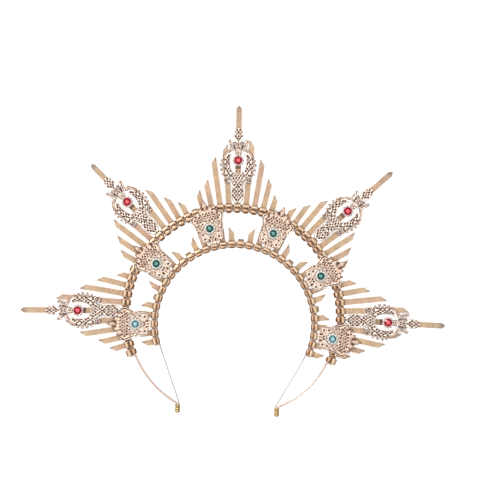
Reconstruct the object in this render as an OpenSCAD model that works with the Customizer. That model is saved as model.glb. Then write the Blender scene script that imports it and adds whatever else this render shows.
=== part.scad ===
// A halo crown headband that lies flat on its back. Cable ties ride side by side on two wire arches,
// their tails cut to pointed rays, and cast filigree spires and plaques carry round stones.
// X runs from foot to foot, Y from the feet to the middle ray, Z from the back to the front face.

/* [Arches] */
// Radius of the outer wire's arch
outer_wire_r = 91.6; // [88:0.2:98]
// Radius of the inner wire's arch, which bounds the head hollow
inner_wire_r = 67.4; // [64:0.2:72]
// Diameter of the outer wire
outer_wire_d = 2; // [1.6:0.1:2.4]
// Diameter of the inner wire
inner_wire_d = 1.2; // [1:0.1:1.6]
// Angle from one outer tie to the next
outer_step = 4.49; // [4.4:0.01:4.6]
// Angle from one inner tie to the next
inner_step = 6.26; // [6.1:0.01:6.4]
// Sideways place of the inner arch's centre, bent slightly off the middle by hand
inner_x = 1.7; // [0:0.1:2.5]
// Place of the inner arch's centre below the outer one
inner_y = -7.7; // [-9:0.1:-6]
// Angle that the inner arch is turned by
inner_turn = 2; // [0:0.1:3]

/* [Cable ties] */
// Width of a tie's head along the wire
head_w = 6.6; // [6:0.1:6.9]
// Thickness of a tie's head away from the wire
head_t = 3.9; // [3.4:0.1:4.4]
// Depth of a tie's head from back to front
head_h = 6.4; // [5.8:0.1:7]
// Cut off the upright edges of a head
head_chamfer = 0.6; // [0.3:0.1:0.9]
// Width of the strap
strap_w = 4.7; // [4:0.1:5]
// Thickness of the strap
strap_t = 1; // [0.8:0.1:1.2]
// Length of a slanted cut at a ray's end
cut_len = 5.2; // [4:0.1:6]
// Length of a pencil cut at the end of a fan's middle ray
pencil_len = 2.8; // [2:0.1:4]
// Length of an uncut stub from the middle of its head
outer_stub = 3.4; // [3:0.1:4.5]
// Length of an inner stub from the middle of its head
inner_stub = 4; // [3:0.1:5]
// Length of the inner arch's short rays at the top
inner_ray = 14.3; // [12:0.1:15]
// How much shorter each further inner ray is, going down the sides
inner_ray_drop = 0.15; // [0:0.01:0.2]

/* [Spires and plaques] */
// Thickness of the cast plates
plate_t = 1.8; // [1.4:0.1:2.2]
// Distance of a spire's stone from the middle of the heads below it
spire_out = 39.8; // [39:0.1:41]
// Distance of a plaque's stone from the middle of the inner heads
plaque_out = 15.3; // [15:0.1:16]
// Diameter of a spire's stone
spire_stone_d = 6.9; // [6:0.1:7.2]
// Diameter of a plaque's stone
plaque_stone_d = 6.2; // [5.8:0.1:6.6]
// Diameter across a setting's petals
setting_d = 10.6; // [10:0.1:11]

/* [Feet] */
// Distance between the two ferrules
feet_gap = 86.4; // [84:0.2:90]
// Sideways place of the middle between the ferrules
feet_x = -1.7; // [-2.5:0.1:0]
// Place of a ferrule's lower end below the outer arch's centre
feet_y = -86.6; // [-88:0.1:-85]
// Diameter of a ferrule
ferrule_d = 4.5; // [4.2:0.1:5]
// Length of a ferrule from its mouth to its round end
ferrule_len = 7.6; // [7:0.1:9]

/* [Hidden] */
$fn = 48;
seat_gap = 0.1;
wire_clear = 0.15;
head_mid = head_h / 2;
ray_front = head_mid + strap_t / 2;
spire_z = ray_front + seat_gap;
plaque_z = head_h + seat_gap;

// One row for each fan of outer ties. Columns: index of the fan's middle tie, angle that its rays lean
// by, then the rays' lengths from the middle of their heads, from the fourth before it to the fourth after.
FANS = [
    [-20, -2.0, 16, 24, 39, 50.5, 90, 59.5, 40.5, 27.5, 12],
    [-10, -1.2, 18, 27, 38, 50, 85.5, 51, 38, 24, 14.5],
    [  0, -1.3, 18, 25.5, 44, 54, 88, 58, 43, 28, 16],
    [ 10,  1.6, 13.5, 22.5, 34.5, 48, 92, 47, 33, 23.5, 16],
    [ 20,  1.4, 16, 26, 39.5, 58, 90, 52.5, 39.5, 24, 13.5]
];
MIDDLE = 0;
LEAN = 1;
FIRST_LENGTH = 2;
FAN_REACH = 4;
FAN_STEP = 10;
LAST_OUTER = 25;
// Index of the inner tie behind each plaque, from low left to low right
PLAQUES = [-15, -9, -3, 3, 9, 15];
PLAQUE_STEP = 6;
LAST_INNER = 17;

// A tie's place on its arch is worked out from the wire: its loop rings the wire, and its head sits on
// the loop's outer side, sunk in just far enough to hold to it
ring_sink = 0.3;
function ring_in(wire_d) = wire_d / 2 + wire_clear;
function ring_out(wire_d) = ring_in(wire_d) + strap_t;
function head_off(wire_d) = head_t / 2 + ring_out(wire_d) - ring_sink;
outer_head_r = outer_wire_r + head_off(outer_wire_d);
inner_head_r = inner_wire_r + head_off(inner_wire_d);
inner_centre = [inner_x, inner_y];

function heading(a) = [sin(a), cos(a)];
function fan_of(k) = round(k / FAN_STEP);
function fan_row(k) = FANS[max(0, min(4, fan_of(k) + 2))];
function fan_offset(k) = k - fan_row(k)[MIDDLE];
function outer_angle(k) = outer_step * k;
function ray_angle(k) = outer_angle(k) + fan_row(k)[LEAN];
function outer_length(k) = fan_row(k)[FIRST_LENGTH + FAN_REACH + fan_offset(k)];
function outer_head(k) = outer_head_r * heading(outer_angle(k));
function outer_tip(k) = outer_head(k) + outer_length(k) * heading(ray_angle(k));
function inner_angle(k) = inner_turn + inner_step * k;
function inner_head(k) = inner_centre + inner_head_r * heading(inner_angle(k));
function plaque_offset(k) = (abs(k) + 3) % PLAQUE_STEP;

// Distance along an inner ray to the loops of the outer arch, less room to stay clear of them
loop_room = 1.2;
function reach(k) =
    let (p = inner_head(k), d = heading(inner_angle(k)), r = outer_wire_r - ring_out(outer_wire_d))
    -p * d + sqrt(pow(p * d, 2) - p * p + r * r) - loop_room;

// The part is moved so that its origin is the middle of its box
foot_left = [feet_x - feet_gap / 2, feet_y];
foot_right = [feet_x + feet_gap / 2, feet_y];
box_middle = [
    (outer_tip(-20)[0] + outer_tip(20)[0]) / 2,
    (outer_tip(0)[1] + feet_y) / 2
];

module place_part() {
    translate([-box_middle[0], -box_middle[1], 0]) children();
}

module place_on(point, angle, z = 0) {
    translate([point[0], point[1], z]) rotate([0, 0, -angle]) children();
}

// Cable ties

// Block of the head, with its upright edges cut
module tie_head() {
    w = head_w / 2;
    t = head_t / 2;
    c = head_chamfer;
    linear_extrude(head_h)
        polygon([[c - w, -t], [w - c, -t], [w, c - t], [w, t - c], [w - c, t], [c - w, t], [-w, t - c], [-w, c - t]]);
}

// Loop of the strap round the wire, on the inner side of the head
module tie_loop(wire_d) {
    translate([0, -head_off(wire_d), head_mid])
        rotate([0, 90, 0])
            linear_extrude(strap_w, center = true)
                difference() {
                    circle(ring_out(wire_d));
                    circle(ring_in(wire_d));
                }
}

// Tail of the strap. side is 0 for a pencil point, or -1 or 1 for the side that a slanted cut leaves long.
module tie_ray(length, side, lean = 0) {
    w = strap_w / 2;
    short_left = side < 0 ? 0 : cut_len;
    short_right = side > 0 ? 0 : cut_len;
    rotate([0, 0, -lean])
        translate([0, 0, head_mid - strap_t / 2])
            linear_extrude(strap_t)
                if (side == 0)
                    polygon([[-w, 0], [w, 0], [w, length - pencil_len], [0, length], [-w, length - pencil_len]]);
                else
                    polygon([[-w, 0], [w, 0], [w, length - short_right], [-w, length - short_left]]);
}

// Tail that was cut off flush, just outside the head
module tie_stub(length) {
    translate([-strap_w / 2, 0, head_mid - strap_t / 2]) cube([strap_w, length, strap_t]);
}

module outer_tie(k) {
    stub = abs(fan_offset(k)) > FAN_REACH;
    color("burlywood")
        place_on(outer_head(k), outer_angle(k)) {
            tie_head();
            tie_loop(outer_wire_d);
            if (stub)
                tie_stub(outer_stub);
            else
                tie_ray(outer_length(k), -sign(fan_offset(k)), fan_row(k)[LEAN]);
        }
}

module inner_tie(k) {
    from_plaque = plaque_offset(k);
    long = min(from_plaque, PLAQUE_STEP - from_plaque) < 2;
    toward = (from_plaque > PLAQUE_STEP / 2 ? 1 : -1) * sign(k);
    color("burlywood")
        place_on(inner_head(k), inner_angle(k)) {
            tie_head();
            tie_loop(inner_wire_d);
            if (from_plaque == PLAQUE_STEP / 2)
                tie_stub(inner_stub);
            else if (long)
                tie_ray(reach(k), toward);
            else
                tie_ray(inner_ray - inner_ray_drop * abs(k), toward);
        }
}

module outer_ties(first, last) {
    place_part()
        for (k = [first : last])
            if (k % FAN_STEP != 0)
                outer_tie(k);
}

module spire_tie(k) {
    place_part() outer_tie(k);
}

module inner_ties(first, last) {
    place_part()
        for (k = [first : last])
            inner_tie(k);
}

// Wires and ferrules

// Round wire swept along points of the wires' plane, mitred where it turns
wire_sides = 12;
function unit(v) = v / norm(v);
function left_of(v) = [-v[1], v[0]];
function mitre(path, i) =
    let (
        before = max(i, 1),
        after = min(i, len(path) - 2),
        left_before = left_of(unit(path[before] - path[before - 1])),
        left_after = left_of(unit(path[after + 1] - path[after])),
        m = unit(left_before + left_after)
    )
    m / (m * left_before);

module wire_along(path, d) {
    last_ring = (len(path) - 1) * wire_sides;
    points = [
        for (i = [0 : len(path) - 1], s = [0 : wire_sides - 1])
            let (a = s * 360 / wire_sides, p = path[i] + d / 2 * cos(a) * mitre(path, i))
            [p[0], p[1], head_mid + d / 2 * sin(a)]
    ];
    walls = [
        for (ring = [0 : wire_sides : last_ring - 1], s = [0 : wire_sides - 1])
            let (a = ring + s, b = ring + (s + 1) % wire_sides)
            [a, a + wire_sides, b + wire_sides, b]
    ];
    first_cap = [for (s = [0 : wire_sides - 1]) s];
    last_cap = [for (s = [wire_sides - 1 : -1 : 0]) last_ring + s];
    polyhedron(points, concat(walls, [first_cap, last_cap]));
}

// Points of an arc, from one heading to another, both ends among them
ring_angle = 3;
function arc_points(centre, r, from, to) =
    let (n = ceil(abs(to - from) / ring_angle))
    [for (i = [0 : n]) centre + r * heading(from + (to - from) * i / n)];
function reversed(list) = [for (i = [len(list) - 1 : -1 : 0]) list[i]];
function tail(list) = [for (i = [1 : len(list) - 1]) list[i]];

// Both wires bend down into each ferrule, side by side. A bend's place is given outward from the ferrule's
// middle line and upward from its mouth.
OUTER_BEND = [0.65, 0.8];
INNER_BEND = [-1.05, 1.6];
sunk_len = 4;
function bend_point(foot, side, bend) = foot + [side * bend[0], ferrule_len + bend[1]];
function sunk_point(foot, side, bend) = foot + [side * bend[0], ferrule_len - sunk_len];

// The outer wire's leg is an arc that leaves the arch at a tangent and reaches its bend
leg_start = outer_step * LAST_OUTER + 1.5;
function leg_r(side, to) =
    let (h = heading(side * leg_start), v = to - outer_wire_r * h)
    v * v / (2 * (outer_wire_r - to * h));
function outer_leg(foot, side) =
    let (
        to = bend_point(foot, side, OUTER_BEND),
        r = leg_r(side, to),
        centre = (outer_wire_r - r) * heading(side * leg_start),
        v = to - centre
    )
    concat(
        tail(arc_points(centre, r, side * leg_start, atan2(v[0], v[1]))),
        [sunk_point(foot, side, OUTER_BEND)]
    );

module outer_wire() {
    color("goldenrod")
        place_part()
            wire_along(
                concat(
                    reversed(outer_leg(foot_left, -1)),
                    arc_points([0, 0], outer_wire_r, -leg_start, leg_start),
                    outer_leg(foot_right, 1)
                ),
                outer_wire_d
            );
}

// The inner wire's leg is straight, from where it leaves the arch at a tangent to its bend
function leave_angle(foot, side) =
    let (v = bend_point(foot, side, INNER_BEND) - inner_centre)
    atan2(v[0], v[1]) - side * acos(inner_wire_r / norm(v));
function inner_leg(foot, side) =
    [bend_point(foot, side, INNER_BEND), sunk_point(foot, side, INNER_BEND)];

module inner_wire() {
    color("silver")
        place_part()
            wire_along(
                concat(
                    reversed(inner_leg(foot_left, -1)),
                    arc_points(inner_centre, inner_wire_r, leave_angle(foot_left, -1), leave_angle(foot_right, 1)),
                    inner_leg(foot_right, 1)
                ),
                inner_wire_d
            );
}

// Turned sleeve with an open mouth and a round lower end
module ferrule(foot) {
    r = ferrule_d / 2;
    bore_r = r - 0.5;
    bore_depth = sunk_len + 0.6;
    round_end = 1.2;
    lip = 0.2;
    color("gold")
        place_part()
            translate([foot[0], foot[1], head_mid])
                rotate([-90, 0, 0])
                    rotate_extrude()
                        polygon([
                            [0, 0], [r - round_end, 0], [r, round_end], [r, ferrule_len - lip],
                            [r - lip, ferrule_len], [bore_r, ferrule_len],
                            [bore_r, ferrule_len - bore_depth], [0, ferrule_len - bore_depth]
                        ]);
}

// Spires, in their own frame: the stone is the origin and Y runs along the ray

// Half of the spire's outer shape, mirrored by the caller
module spire_half() {
    // from the flare of the tail, up the swag and the wing's band to the horn beside the neck
    polygon([
        [-1, -26], [2.6, -25.6], [5.6, -22.8], [9.6, -20.4], [13, -15], [13.4, -9], [13.2, 1], [10.6, 5.2],
        [6.6, 10.6], [7.7, 13.6], [8.4, 17.4], [5.4, 15.2], [2.6, 14.2], [-1, 14.2]
    ]);
    // leaves along the outer edge of the wing
    for (leaf = [[11.4, 0.4], [12.6, -3.4], [13.2, -7.6], [12.4, -11.8]])
        translate(leaf) circle(2.9);
    // curl at the foot of the wing
    translate([9.6, -17.4]) circle(3.4);
}

module spire_outline() {
    neck_r = 4.7;
    tail_w = 5;
    spire_half();
    mirror([1, 0]) spire_half();
    translate([0, 22.2]) circle(neck_r);
    polygon([[-2.8, 13], [2.8, 13], [4.4, 20.6], [-4.4, 20.6]]);
    translate([-tail_w, -32.4]) square([2 * tail_w, 9]);
    translate([0, -32.4]) circle(tail_w);
}

// Window that frames the setting, with the ray showing below it
module spire_window() {
    translate([0, -3.7]) circle(7.3);
    circle(setting_d / 2 + 0.5);
}

// Small openings of one half: along the neck, the horn, the wing's scrolls, its leaves, the swag and the tail
module spire_holes() {
    for (v = [17.2, 20.2, 23.2])
        translate([1.9, v]) circle(0.8);
    translate([5.6, 12.6]) circle(0.9);
    translate([8.6, 6.2]) circle(1.5);
    for (a = [66 : 22 : 132])
        translate([0, -3.7]) rotate(90 - a) translate([10, 0]) circle(1);
    for (leaf = [[13.2, -3.4], [13.9, -7.6], [13.1, -11.8], [10, -17.6]])
        translate(leaf) circle(0.9);
    for (p = [[4.4, -14.2], [2.6, -18], [6, -18.4]])
        translate(p) circle(1);
    for (v = [-26.4, -29.6, -32.8])
        translate([2.4, v]) circle(0.9);
}

module spire_at(i) {
    k = FANS[i][MIDDLE];
    place_part()
        place_on(outer_head(k) + spire_out * heading(ray_angle(k)), ray_angle(k), spire_z)
            children();
}

module spire(i) {
    color("rosybrown")
        spire_at(i)
            linear_extrude(plate_t)
                difference() {
                    spire_outline();
                    spire_window();
                    spire_holes();
                    mirror([1, 0]) spire_holes();
                }
}

// Plaques, in their own frame: the stone is the origin and Y runs outward

module plaque_half() {
    // scroll at the inner end and the side up to the shoulder
    translate([6.6, -8.6]) circle(2.9);
    polygon([[-1, -13.4], [4.4, -12.6], [9, -8.6], [11.6, -3], [12.4, 3], [14.4, 10.6], [-1, 10.6]]);
    // ring at the waist
    translate([11.4, 0.4]) circle(2.2);
    // leaves of the crown end
    translate([12, 11.2]) circle(2.8);
    translate([7.4, 14.4]) circle(3);
    polygon([[-1, 8], [12, 9], [7.6, 17], [4, 15.6], [2.8, 21], [0, 25.6], [-1, 24]]);
}

module plaque_holes() {
    translate([6.9, -8.8]) circle(1);
    translate([1.3, -10.8]) circle(0.8);
    translate([11.6, 0.4]) circle(0.9);
    translate([7.6, 4.4]) circle(1);
    translate([3.2, 8.4]) circle(0.9);
    translate([10.6, 8]) circle(1);
    translate([6.4, 11.6]) circle(1.1);
    translate([12.4, 11.6]) circle(0.8);
    translate([1.5, 14.8]) circle(0.8);
}

module plaque_at(i, z) {
    k = PLAQUES[i];
    place_part()
        place_on(inner_head(k) + plaque_out * heading(inner_angle(k)), inner_angle(k), z)
            children();
}

module plaque(i) {
    color("rosybrown")
        plaque_at(i, plaque_z)
            linear_extrude(plate_t)
                difference() {
                    union() {
                        plaque_half();
                        mirror([1, 0]) plaque_half();
                    }
                    plaque_holes();
                    mirror([1, 0]) plaque_holes();
                }
}

// Settings and stones, on their own axis from their seat upward
cup_h = 2;
cup_wall = 0.5;
petal_h = 1;
petal_count = 10;
girdle_z = 1.7;
crown_h = 1.1;

module setting(stone_d) {
    cup_r = stone_d / 2 + seat_gap + cup_wall;
    petal_r = 1.5;
    difference() {
        union() {
            cylinder(r = cup_r, h = cup_h);
            cylinder(d = setting_d - 1.6, h = petal_h);
            for (n = [0 : petal_count - 1])
                rotate(n * 360 / petal_count)
                    translate([setting_d / 2 - petal_r, 0, 0]) cylinder(r = petal_r, h = petal_h);
        }
        translate([0, 0, 0.4]) cylinder(r = cup_r - cup_wall, h = cup_h);
    }
}

// Round cut stone: a cone below the girdle and a flat-topped crown above it
module stone(stone_d) {
    r = stone_d / 2;
    table_r = stone_d * 0.29;
    rotate_extrude()
        polygon([
            [0, 0.5], [r, girdle_z], [r, girdle_z + 0.2],
            [table_r, girdle_z + crown_h], [0, girdle_z + crown_h]
        ]);
}

plaque_setting_z = plaque_z + plate_t + seat_gap;

module spire_setting(i) {
    color("gainsboro") spire_at(i) setting(spire_stone_d);
}

module spire_stone(i) {
    color("crimson") spire_at(i) stone(spire_stone_d);
}

module plaque_setting(i) {
    color("gainsboro") plaque_at(i, plaque_setting_z) setting(plaque_stone_d);
}

module plaque_stone(i) {
    lowest = i == 0 || i == len(PLAQUES) - 1;
    color(lowest ? "skyblue" : "seagreen") plaque_at(i, plaque_setting_z) stone(plaque_stone_d);
}

outer_wire();
inner_wire();
ferrule(foot_left);  // ferrule_left
ferrule(foot_right);  // ferrule_right
outer_ties(-25, -15);  // outer_ties_low_left
outer_ties(-14, -5);  // outer_ties_high_left
outer_ties(-4, 4);  // outer_ties_top
outer_ties(5, 14);  // outer_ties_high_right
outer_ties(15, 25);  // outer_ties_low_right
spire_tie(-20);  // spire_tie_low_left
spire_tie(-10);  // spire_tie_high_left
spire_tie(0);  // spire_tie_top
spire_tie(10);  // spire_tie_high_right
spire_tie(20);  // spire_tie_low_right
inner_ties(-17, -12);  // inner_ties_low_left
inner_ties(-11, -6);  // inner_ties_high_left
inner_ties(-5, -1);  // inner_ties_top_left
inner_ties(0, 5);  // inner_ties_top_right
inner_ties(6, 11);  // inner_ties_high_right
inner_ties(12, 17);  // inner_ties_low_right
spire(0);  // spire_low_left
spire(1);  // spire_high_left
spire(2);  // spire_top
spire(3);  // spire_high_right
spire(4);  // spire_low_right
plaque(0);  // plaque_low_left
plaque(1);  // plaque_high_left
plaque(2);  // plaque_top_left
plaque(3);  // plaque_top_right
plaque(4);  // plaque_high_right
plaque(5);  // plaque_low_right
spire_setting(0);  // spire_setting_low_left
spire_setting(1);  // spire_setting_high_left
spire_setting(2);  // spire_setting_top
spire_setting(3);  // spire_setting_high_right
spire_setting(4);  // spire_setting_low_right
plaque_setting(0);  // plaque_setting_low_left
plaque_setting(1);  // plaque_setting_high_left
plaque_setting(2);  // plaque_setting_top_left
plaque_setting(3);  // plaque_setting_top_right
plaque_setting(4);  // plaque_setting_high_right
plaque_setting(5);  // plaque_setting_low_right
spire_stone(0);  // spire_stone_low_left
spire_stone(1);  // spire_stone_high_left
spire_stone(2);  // spire_stone_top
spire_stone(3);  // spire_stone_high_right
spire_stone(4);  // spire_stone_low_right
plaque_stone(0);  // plaque_stone_low_left
plaque_stone(1);  // plaque_stone_high_left
plaque_stone(2);  // plaque_stone_top_left
plaque_stone(3);  // plaque_stone_top_right
plaque_stone(4);  // plaque_stone_high_right
plaque_stone(5);  // plaque_stone_low_right
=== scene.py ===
"""Halo crown headband: gold cable ties fanned as rays on two wire arches, cast filigree and round stones.

Lengths inside the classes are millimetres. Each finished mesh is in metres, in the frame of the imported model.
"""

import logging
import math
from collections.abc import Callable, Iterable, Sequence
from dataclasses import dataclass, field, replace
from enum import Enum

import bpy
import numpy as np
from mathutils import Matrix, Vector


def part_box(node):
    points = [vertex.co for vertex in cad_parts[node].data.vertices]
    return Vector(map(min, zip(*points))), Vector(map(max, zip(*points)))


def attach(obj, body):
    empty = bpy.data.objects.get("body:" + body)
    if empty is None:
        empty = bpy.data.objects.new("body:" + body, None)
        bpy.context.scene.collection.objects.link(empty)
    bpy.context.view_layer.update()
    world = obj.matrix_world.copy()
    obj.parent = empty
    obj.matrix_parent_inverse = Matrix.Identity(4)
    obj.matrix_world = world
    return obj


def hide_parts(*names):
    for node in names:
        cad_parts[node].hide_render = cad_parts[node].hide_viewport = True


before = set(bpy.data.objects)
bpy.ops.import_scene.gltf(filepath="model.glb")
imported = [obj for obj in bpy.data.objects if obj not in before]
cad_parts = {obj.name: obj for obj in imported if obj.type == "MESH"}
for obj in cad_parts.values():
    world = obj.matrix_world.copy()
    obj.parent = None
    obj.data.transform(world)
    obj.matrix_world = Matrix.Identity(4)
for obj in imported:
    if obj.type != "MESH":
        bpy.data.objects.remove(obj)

LOG = logging.getLogger("halo_crown")
METRE = 0.001
GOLDEN = 0.618034
TINT_SHIFT = 40  # keeps the sum positive for every index
LINE_STEP = 0.5  # distance between the points of a smooth line
FAN = 10  # ties from one spire to the next
MIDDLE_FAN = 2  # the fan at the top, counted from low left

Triple = tuple[float, float, float]
Colour = Triple
Flat = tuple[float, float]


def heading(degrees: float) -> np.ndarray:
    """Returns the unit direction that is this many degrees clockwise from +Y."""
    a = math.radians(degrees)
    return np.array([math.sin(a), math.cos(a)])


def smoothstep(low: float, high: float, x: np.ndarray) -> np.ndarray:
    """Returns 0 below low, 1 above high and a soft rise between them."""
    t = np.clip((x - low) / (high - low), 0.0, 1.0)
    return t * t * (3.0 - 2.0 * t)


def tint_of(index: int) -> float:
    """Returns an even but unordered share from 0 to 1 for the piece with this index."""
    return (GOLDEN * (index + TINT_SHIFT)) % 1.0


def stand(name: str, data: bpy.types.ID) -> bpy.types.Object:
    """Puts a new object into the scene.

    Args:
        name: its name.
        data: its mesh, camera or light.

    Returns:
        The object.
    """
    made = bpy.data.objects.new(name, data)
    bpy.context.scene.collection.objects.link(made)
    return made


@dataclass(frozen=True)
class Placement:
    """Where a drawing goes.

    Attributes:
        x: place of its origin sideways.
        y: place of its origin along.
        z: height of its origin.
        angle: clockwise angle that its Y axis is turned from +Y, in degrees.
    """

    x: float
    y: float
    z: float = 0.0
    angle: float = 0.0

    def apply(self, points: np.ndarray) -> np.ndarray:
        """Returns the drawing's points in the part's frame.

        Args:
            points: an array of n rows of x, y and z.

        Returns:
            The turned and moved points.
        """
        along = heading(self.angle)
        across = np.array([along[1], -along[0]])
        flat = points[:, :1] * across + points[:, 1:2] * along + np.array([self.x, self.y])
        return np.column_stack([flat, points[:, 2] + self.z])


class Draft:
    """Points, faces and values of a mesh that is still being drawn, in millimetres."""

    # shading: painted light and shade of each point, from 0 in the deepest painted shade to 1 on the best-lit
    # tops
    VALUES = {"relief": 1.0, "tint": 0.5, "gloss": 0.0, "wear": 0.0}

    def __init__(self) -> None:
        """Starts an empty drawing."""
        self.points = np.zeros((0, 3))
        self.loops = np.zeros(0, dtype=np.int32)
        self.sizes = np.zeros(0, dtype=np.int32)
        self.values = {name: np.zeros(0) for name in self.VALUES}

    @classmethod
    def shell(
        cls, points: np.ndarray, faces: Iterable[Sequence[int]], **values: float | np.ndarray
    ) -> "Draft":
        """Draws one closed shell, with its faces turned outwards.

        Args:
            points: its points.
            faces: index lists, all wound the same way round.
            values: a number or one number per point, for each value that isn't at its default.

        Returns:
            The drawing of that shell.
        """
        draft = cls()
        draft.points = np.asarray(points, dtype=float)
        faces = [list(face) for face in faces]
        volume = 0.0
        for face in faces:
            for second, third in zip(face[1:-1], face[2:]):
                volume += np.dot(draft.points[face[0]], np.cross(draft.points[second], draft.points[third]))
        if volume < 0.0:
            faces = [face[::-1] for face in faces]
        draft.loops = np.array([i for face in faces for i in face], dtype=np.int32)
        draft.sizes = np.array([len(face) for face in faces], dtype=np.int32)
        for name, default in cls.VALUES.items():
            draft.values[name] = np.zeros(len(draft.points)) + values.get(name, default)
        return draft

    @classmethod
    def read(cls, mesh: bpy.types.Mesh) -> "Draft":
        """Reads a mesh back into a drawing.

        Args:
            mesh: the mesh.

        Returns:
            The drawing, with each value that the mesh doesn't carry at its default.
        """
        draft = cls()
        count = len(mesh.vertices)
        flat = np.zeros(count * 3)
        mesh.vertices.foreach_get("co", flat)
        draft.points = flat.reshape(-1, 3)
        draft.loops = np.zeros(len(mesh.loops), dtype=np.int32)
        mesh.loops.foreach_get("vertex_index", draft.loops)
        draft.sizes = np.zeros(len(mesh.polygons), dtype=np.int32)
        mesh.polygons.foreach_get("loop_total", draft.sizes)
        for name, default in cls.VALUES.items():
            held = np.zeros(count) + default
            stored = mesh.attributes.get(name)
            if stored is not None and stored.domain == "POINT":
                stored.data.foreach_get("value", held)
            draft.values[name] = held
        return draft

    @classmethod
    def joined(cls, drafts: Iterable["Draft"]) -> "Draft":
        """Joins several drawings into one.

        Args:
            drafts: the drawings.

        Returns:
            The drawing of them all.
        """
        drafts = list(drafts)
        whole = cls()
        starts = np.cumsum([0] + [len(d.points) for d in drafts])
        whole.points = np.concatenate([d.points for d in drafts])
        whole.loops = np.concatenate([d.loops + start for d, start in zip(drafts, starts)]).astype(np.int32)
        whole.sizes = np.concatenate([d.sizes for d in drafts])
        for name in cls.VALUES:
            whole.values[name] = np.concatenate([d.values[name] for d in drafts])
        return whole

    def placed(self, place: Placement, **values: float) -> "Draft":
        """Copies the drawing to a placement.

        Args:
            place: the placement.
            values: the number that a value gets all over the copy.

        Returns:
            The placed copy.
        """
        copy = Draft()
        copy.points = place.apply(self.points)
        copy.loops = self.loops
        copy.sizes = self.sizes
        for name, held in self.values.items():
            copy.values[name] = np.full(len(held), values[name]) if name in values else held
        return copy

    def mesh(self, name: str, scale: float = 1.0, leave_out: Sequence[str] = ()) -> bpy.types.Mesh:
        """Makes the Blender mesh, with its values as point attributes.

        Args:
            name: the mesh's name.
            scale: factor on every point.
            leave_out: values that the mesh doesn't carry.

        Returns:
            The new mesh.
        """
        mesh = bpy.data.meshes.new(name)
        mesh.vertices.add(len(self.points))
        mesh.vertices.foreach_set("co", (self.points * scale).astype(np.float32).ravel())
        mesh.loops.add(len(self.loops))
        mesh.loops.foreach_set("vertex_index", self.loops)
        mesh.polygons.add(len(self.sizes))
        starts = np.concatenate([[0], np.cumsum(self.sizes)[:-1]]).astype(np.int32)
        mesh.polygons.foreach_set("loop_start", starts)
        mesh.update(calc_edges=True)
        for value, held in self.values.items():
            if value not in leave_out:
                stored = mesh.attributes.new(value, "FLOAT", "POINT")
                stored.data.foreach_set("value", held.astype(np.float32))
        return mesh


def loft(rings: np.ndarray, wrap: bool = False, **values: float | np.ndarray) -> Draft:
    """Draws a closed skin over rings of points.

    Args:
        rings: an array of m rings of n points.
        wrap: true joins the last ring to the first; false closes both ends with a face.
        values: values of the points, as Draft.shell takes them.

    Returns:
        The drawing of the skin.
    """
    m, n = rings.shape[:2]
    faces = []
    for i in range(m if wrap else m - 1):
        for j in range(n):
            k = (j + 1) % n
            h = (i + 1) % m
            faces.append((i * n + j, i * n + k, h * n + k, h * n + j))
    if not wrap:
        faces.append(tuple(range(n - 1, -1, -1)))
        faces.append(tuple((m - 1) * n + j for j in range(n)))
    return Draft.shell(rings.reshape(-1, 3), faces, **values)


def lathe(profile: Sequence[Flat], count: int, **values: float | np.ndarray) -> Draft:
    """Turns a closed outline round the Z axis.

    Args:
        profile: the outline's points, each a radius and a height.
        count: how many times the outline stands round the axis.
        values: a number, or one number per point of the outline.

    Returns:
        The drawing of the turned piece.
    """
    angles = np.arange(count) * 2.0 * math.pi / count
    r, z = np.array(profile).T
    rings = np.stack([np.column_stack([r * math.cos(a), r * math.sin(a), z]) for a in angles])
    values = {k: np.tile(v, count) if isinstance(v, np.ndarray) else v for k, v in values.items()}
    return loft(rings, wrap=True, **values)


def rounded_ring(half_x: float, half_y: float, corner: float, per_corner: int = 5) -> np.ndarray:
    """Returns a rectangle with round corners.

    Args:
        half_x: half its width.
        half_y: half its height.
        corner: radius of its corners.
        per_corner: points of each corner.

    Returns:
        Its points, counterclockwise.
    """
    points = []
    for i, (sx, sy) in enumerate(((1, 1), (-1, 1), (-1, -1), (1, -1))):
        for j in range(per_corner):
            a = math.radians(90.0 * (i + j / (per_corner - 1)))
            points.append((
                sx * (half_x - corner) + corner * math.cos(a),
                sy * (half_y - corner) + corner * math.sin(a),
            ))
    return np.array(points)


def dome(count: int = 10, levels: int = 4) -> Draft:
    """Draws a round bead of radius 1 with a flat seat at z 0, painted lighter towards its top.

    Args:
        count: points round it.
        levels: steps from the seat to the top.

    Returns:
        The drawing of the bead.
    """
    points = [(math.cos(a), math.sin(a), 0.0) for a in np.arange(count) * 2.0 * math.pi / count]
    for i in range(1, levels):
        tilt = math.pi / 2.0 * i / levels
        ring = [(x * math.cos(tilt), y * math.cos(tilt), math.sin(tilt)) for x, y, _ in points[:count]]
        points.extend(ring)
    points.append((0.0, 0.0, 1.0))
    top = len(points) - 1
    faces = [tuple(range(count - 1, -1, -1))]
    for i in range(levels - 1):
        for j in range(count):
            k = (j + 1) % count
            faces.append((i * count + j, i * count + k, (i + 1) * count + k, (i + 1) * count + j))
    for j in range(count):
        faces.append(((levels - 1) * count + j, (levels - 1) * count + (j + 1) % count, top))
    points = np.array(points)
    # Painted light: a bead is painted lighter towards its top.
    return Draft.shell(points, faces, relief=0.25 + 0.75 * points[:, 2])


@dataclass(frozen=True)
class Edge:
    """How the face of a cast web falls away at its sides, and what groove runs along its middle.

    Attributes:
        crest: height at which the relief is 1.
        width: width of the border that falls away.
        rim: height that is left at the very edge, as a share of the face's.
        vein: share of the height that the middle groove takes.
        groove: half the width of that groove.
        pinch: how much closer the strips lie towards the sides.
    """

    crest: float
    width: float
    rim: float
    vein: float = 0.0
    groove: float = 0.4
    pinch: float = 0.0


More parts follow.
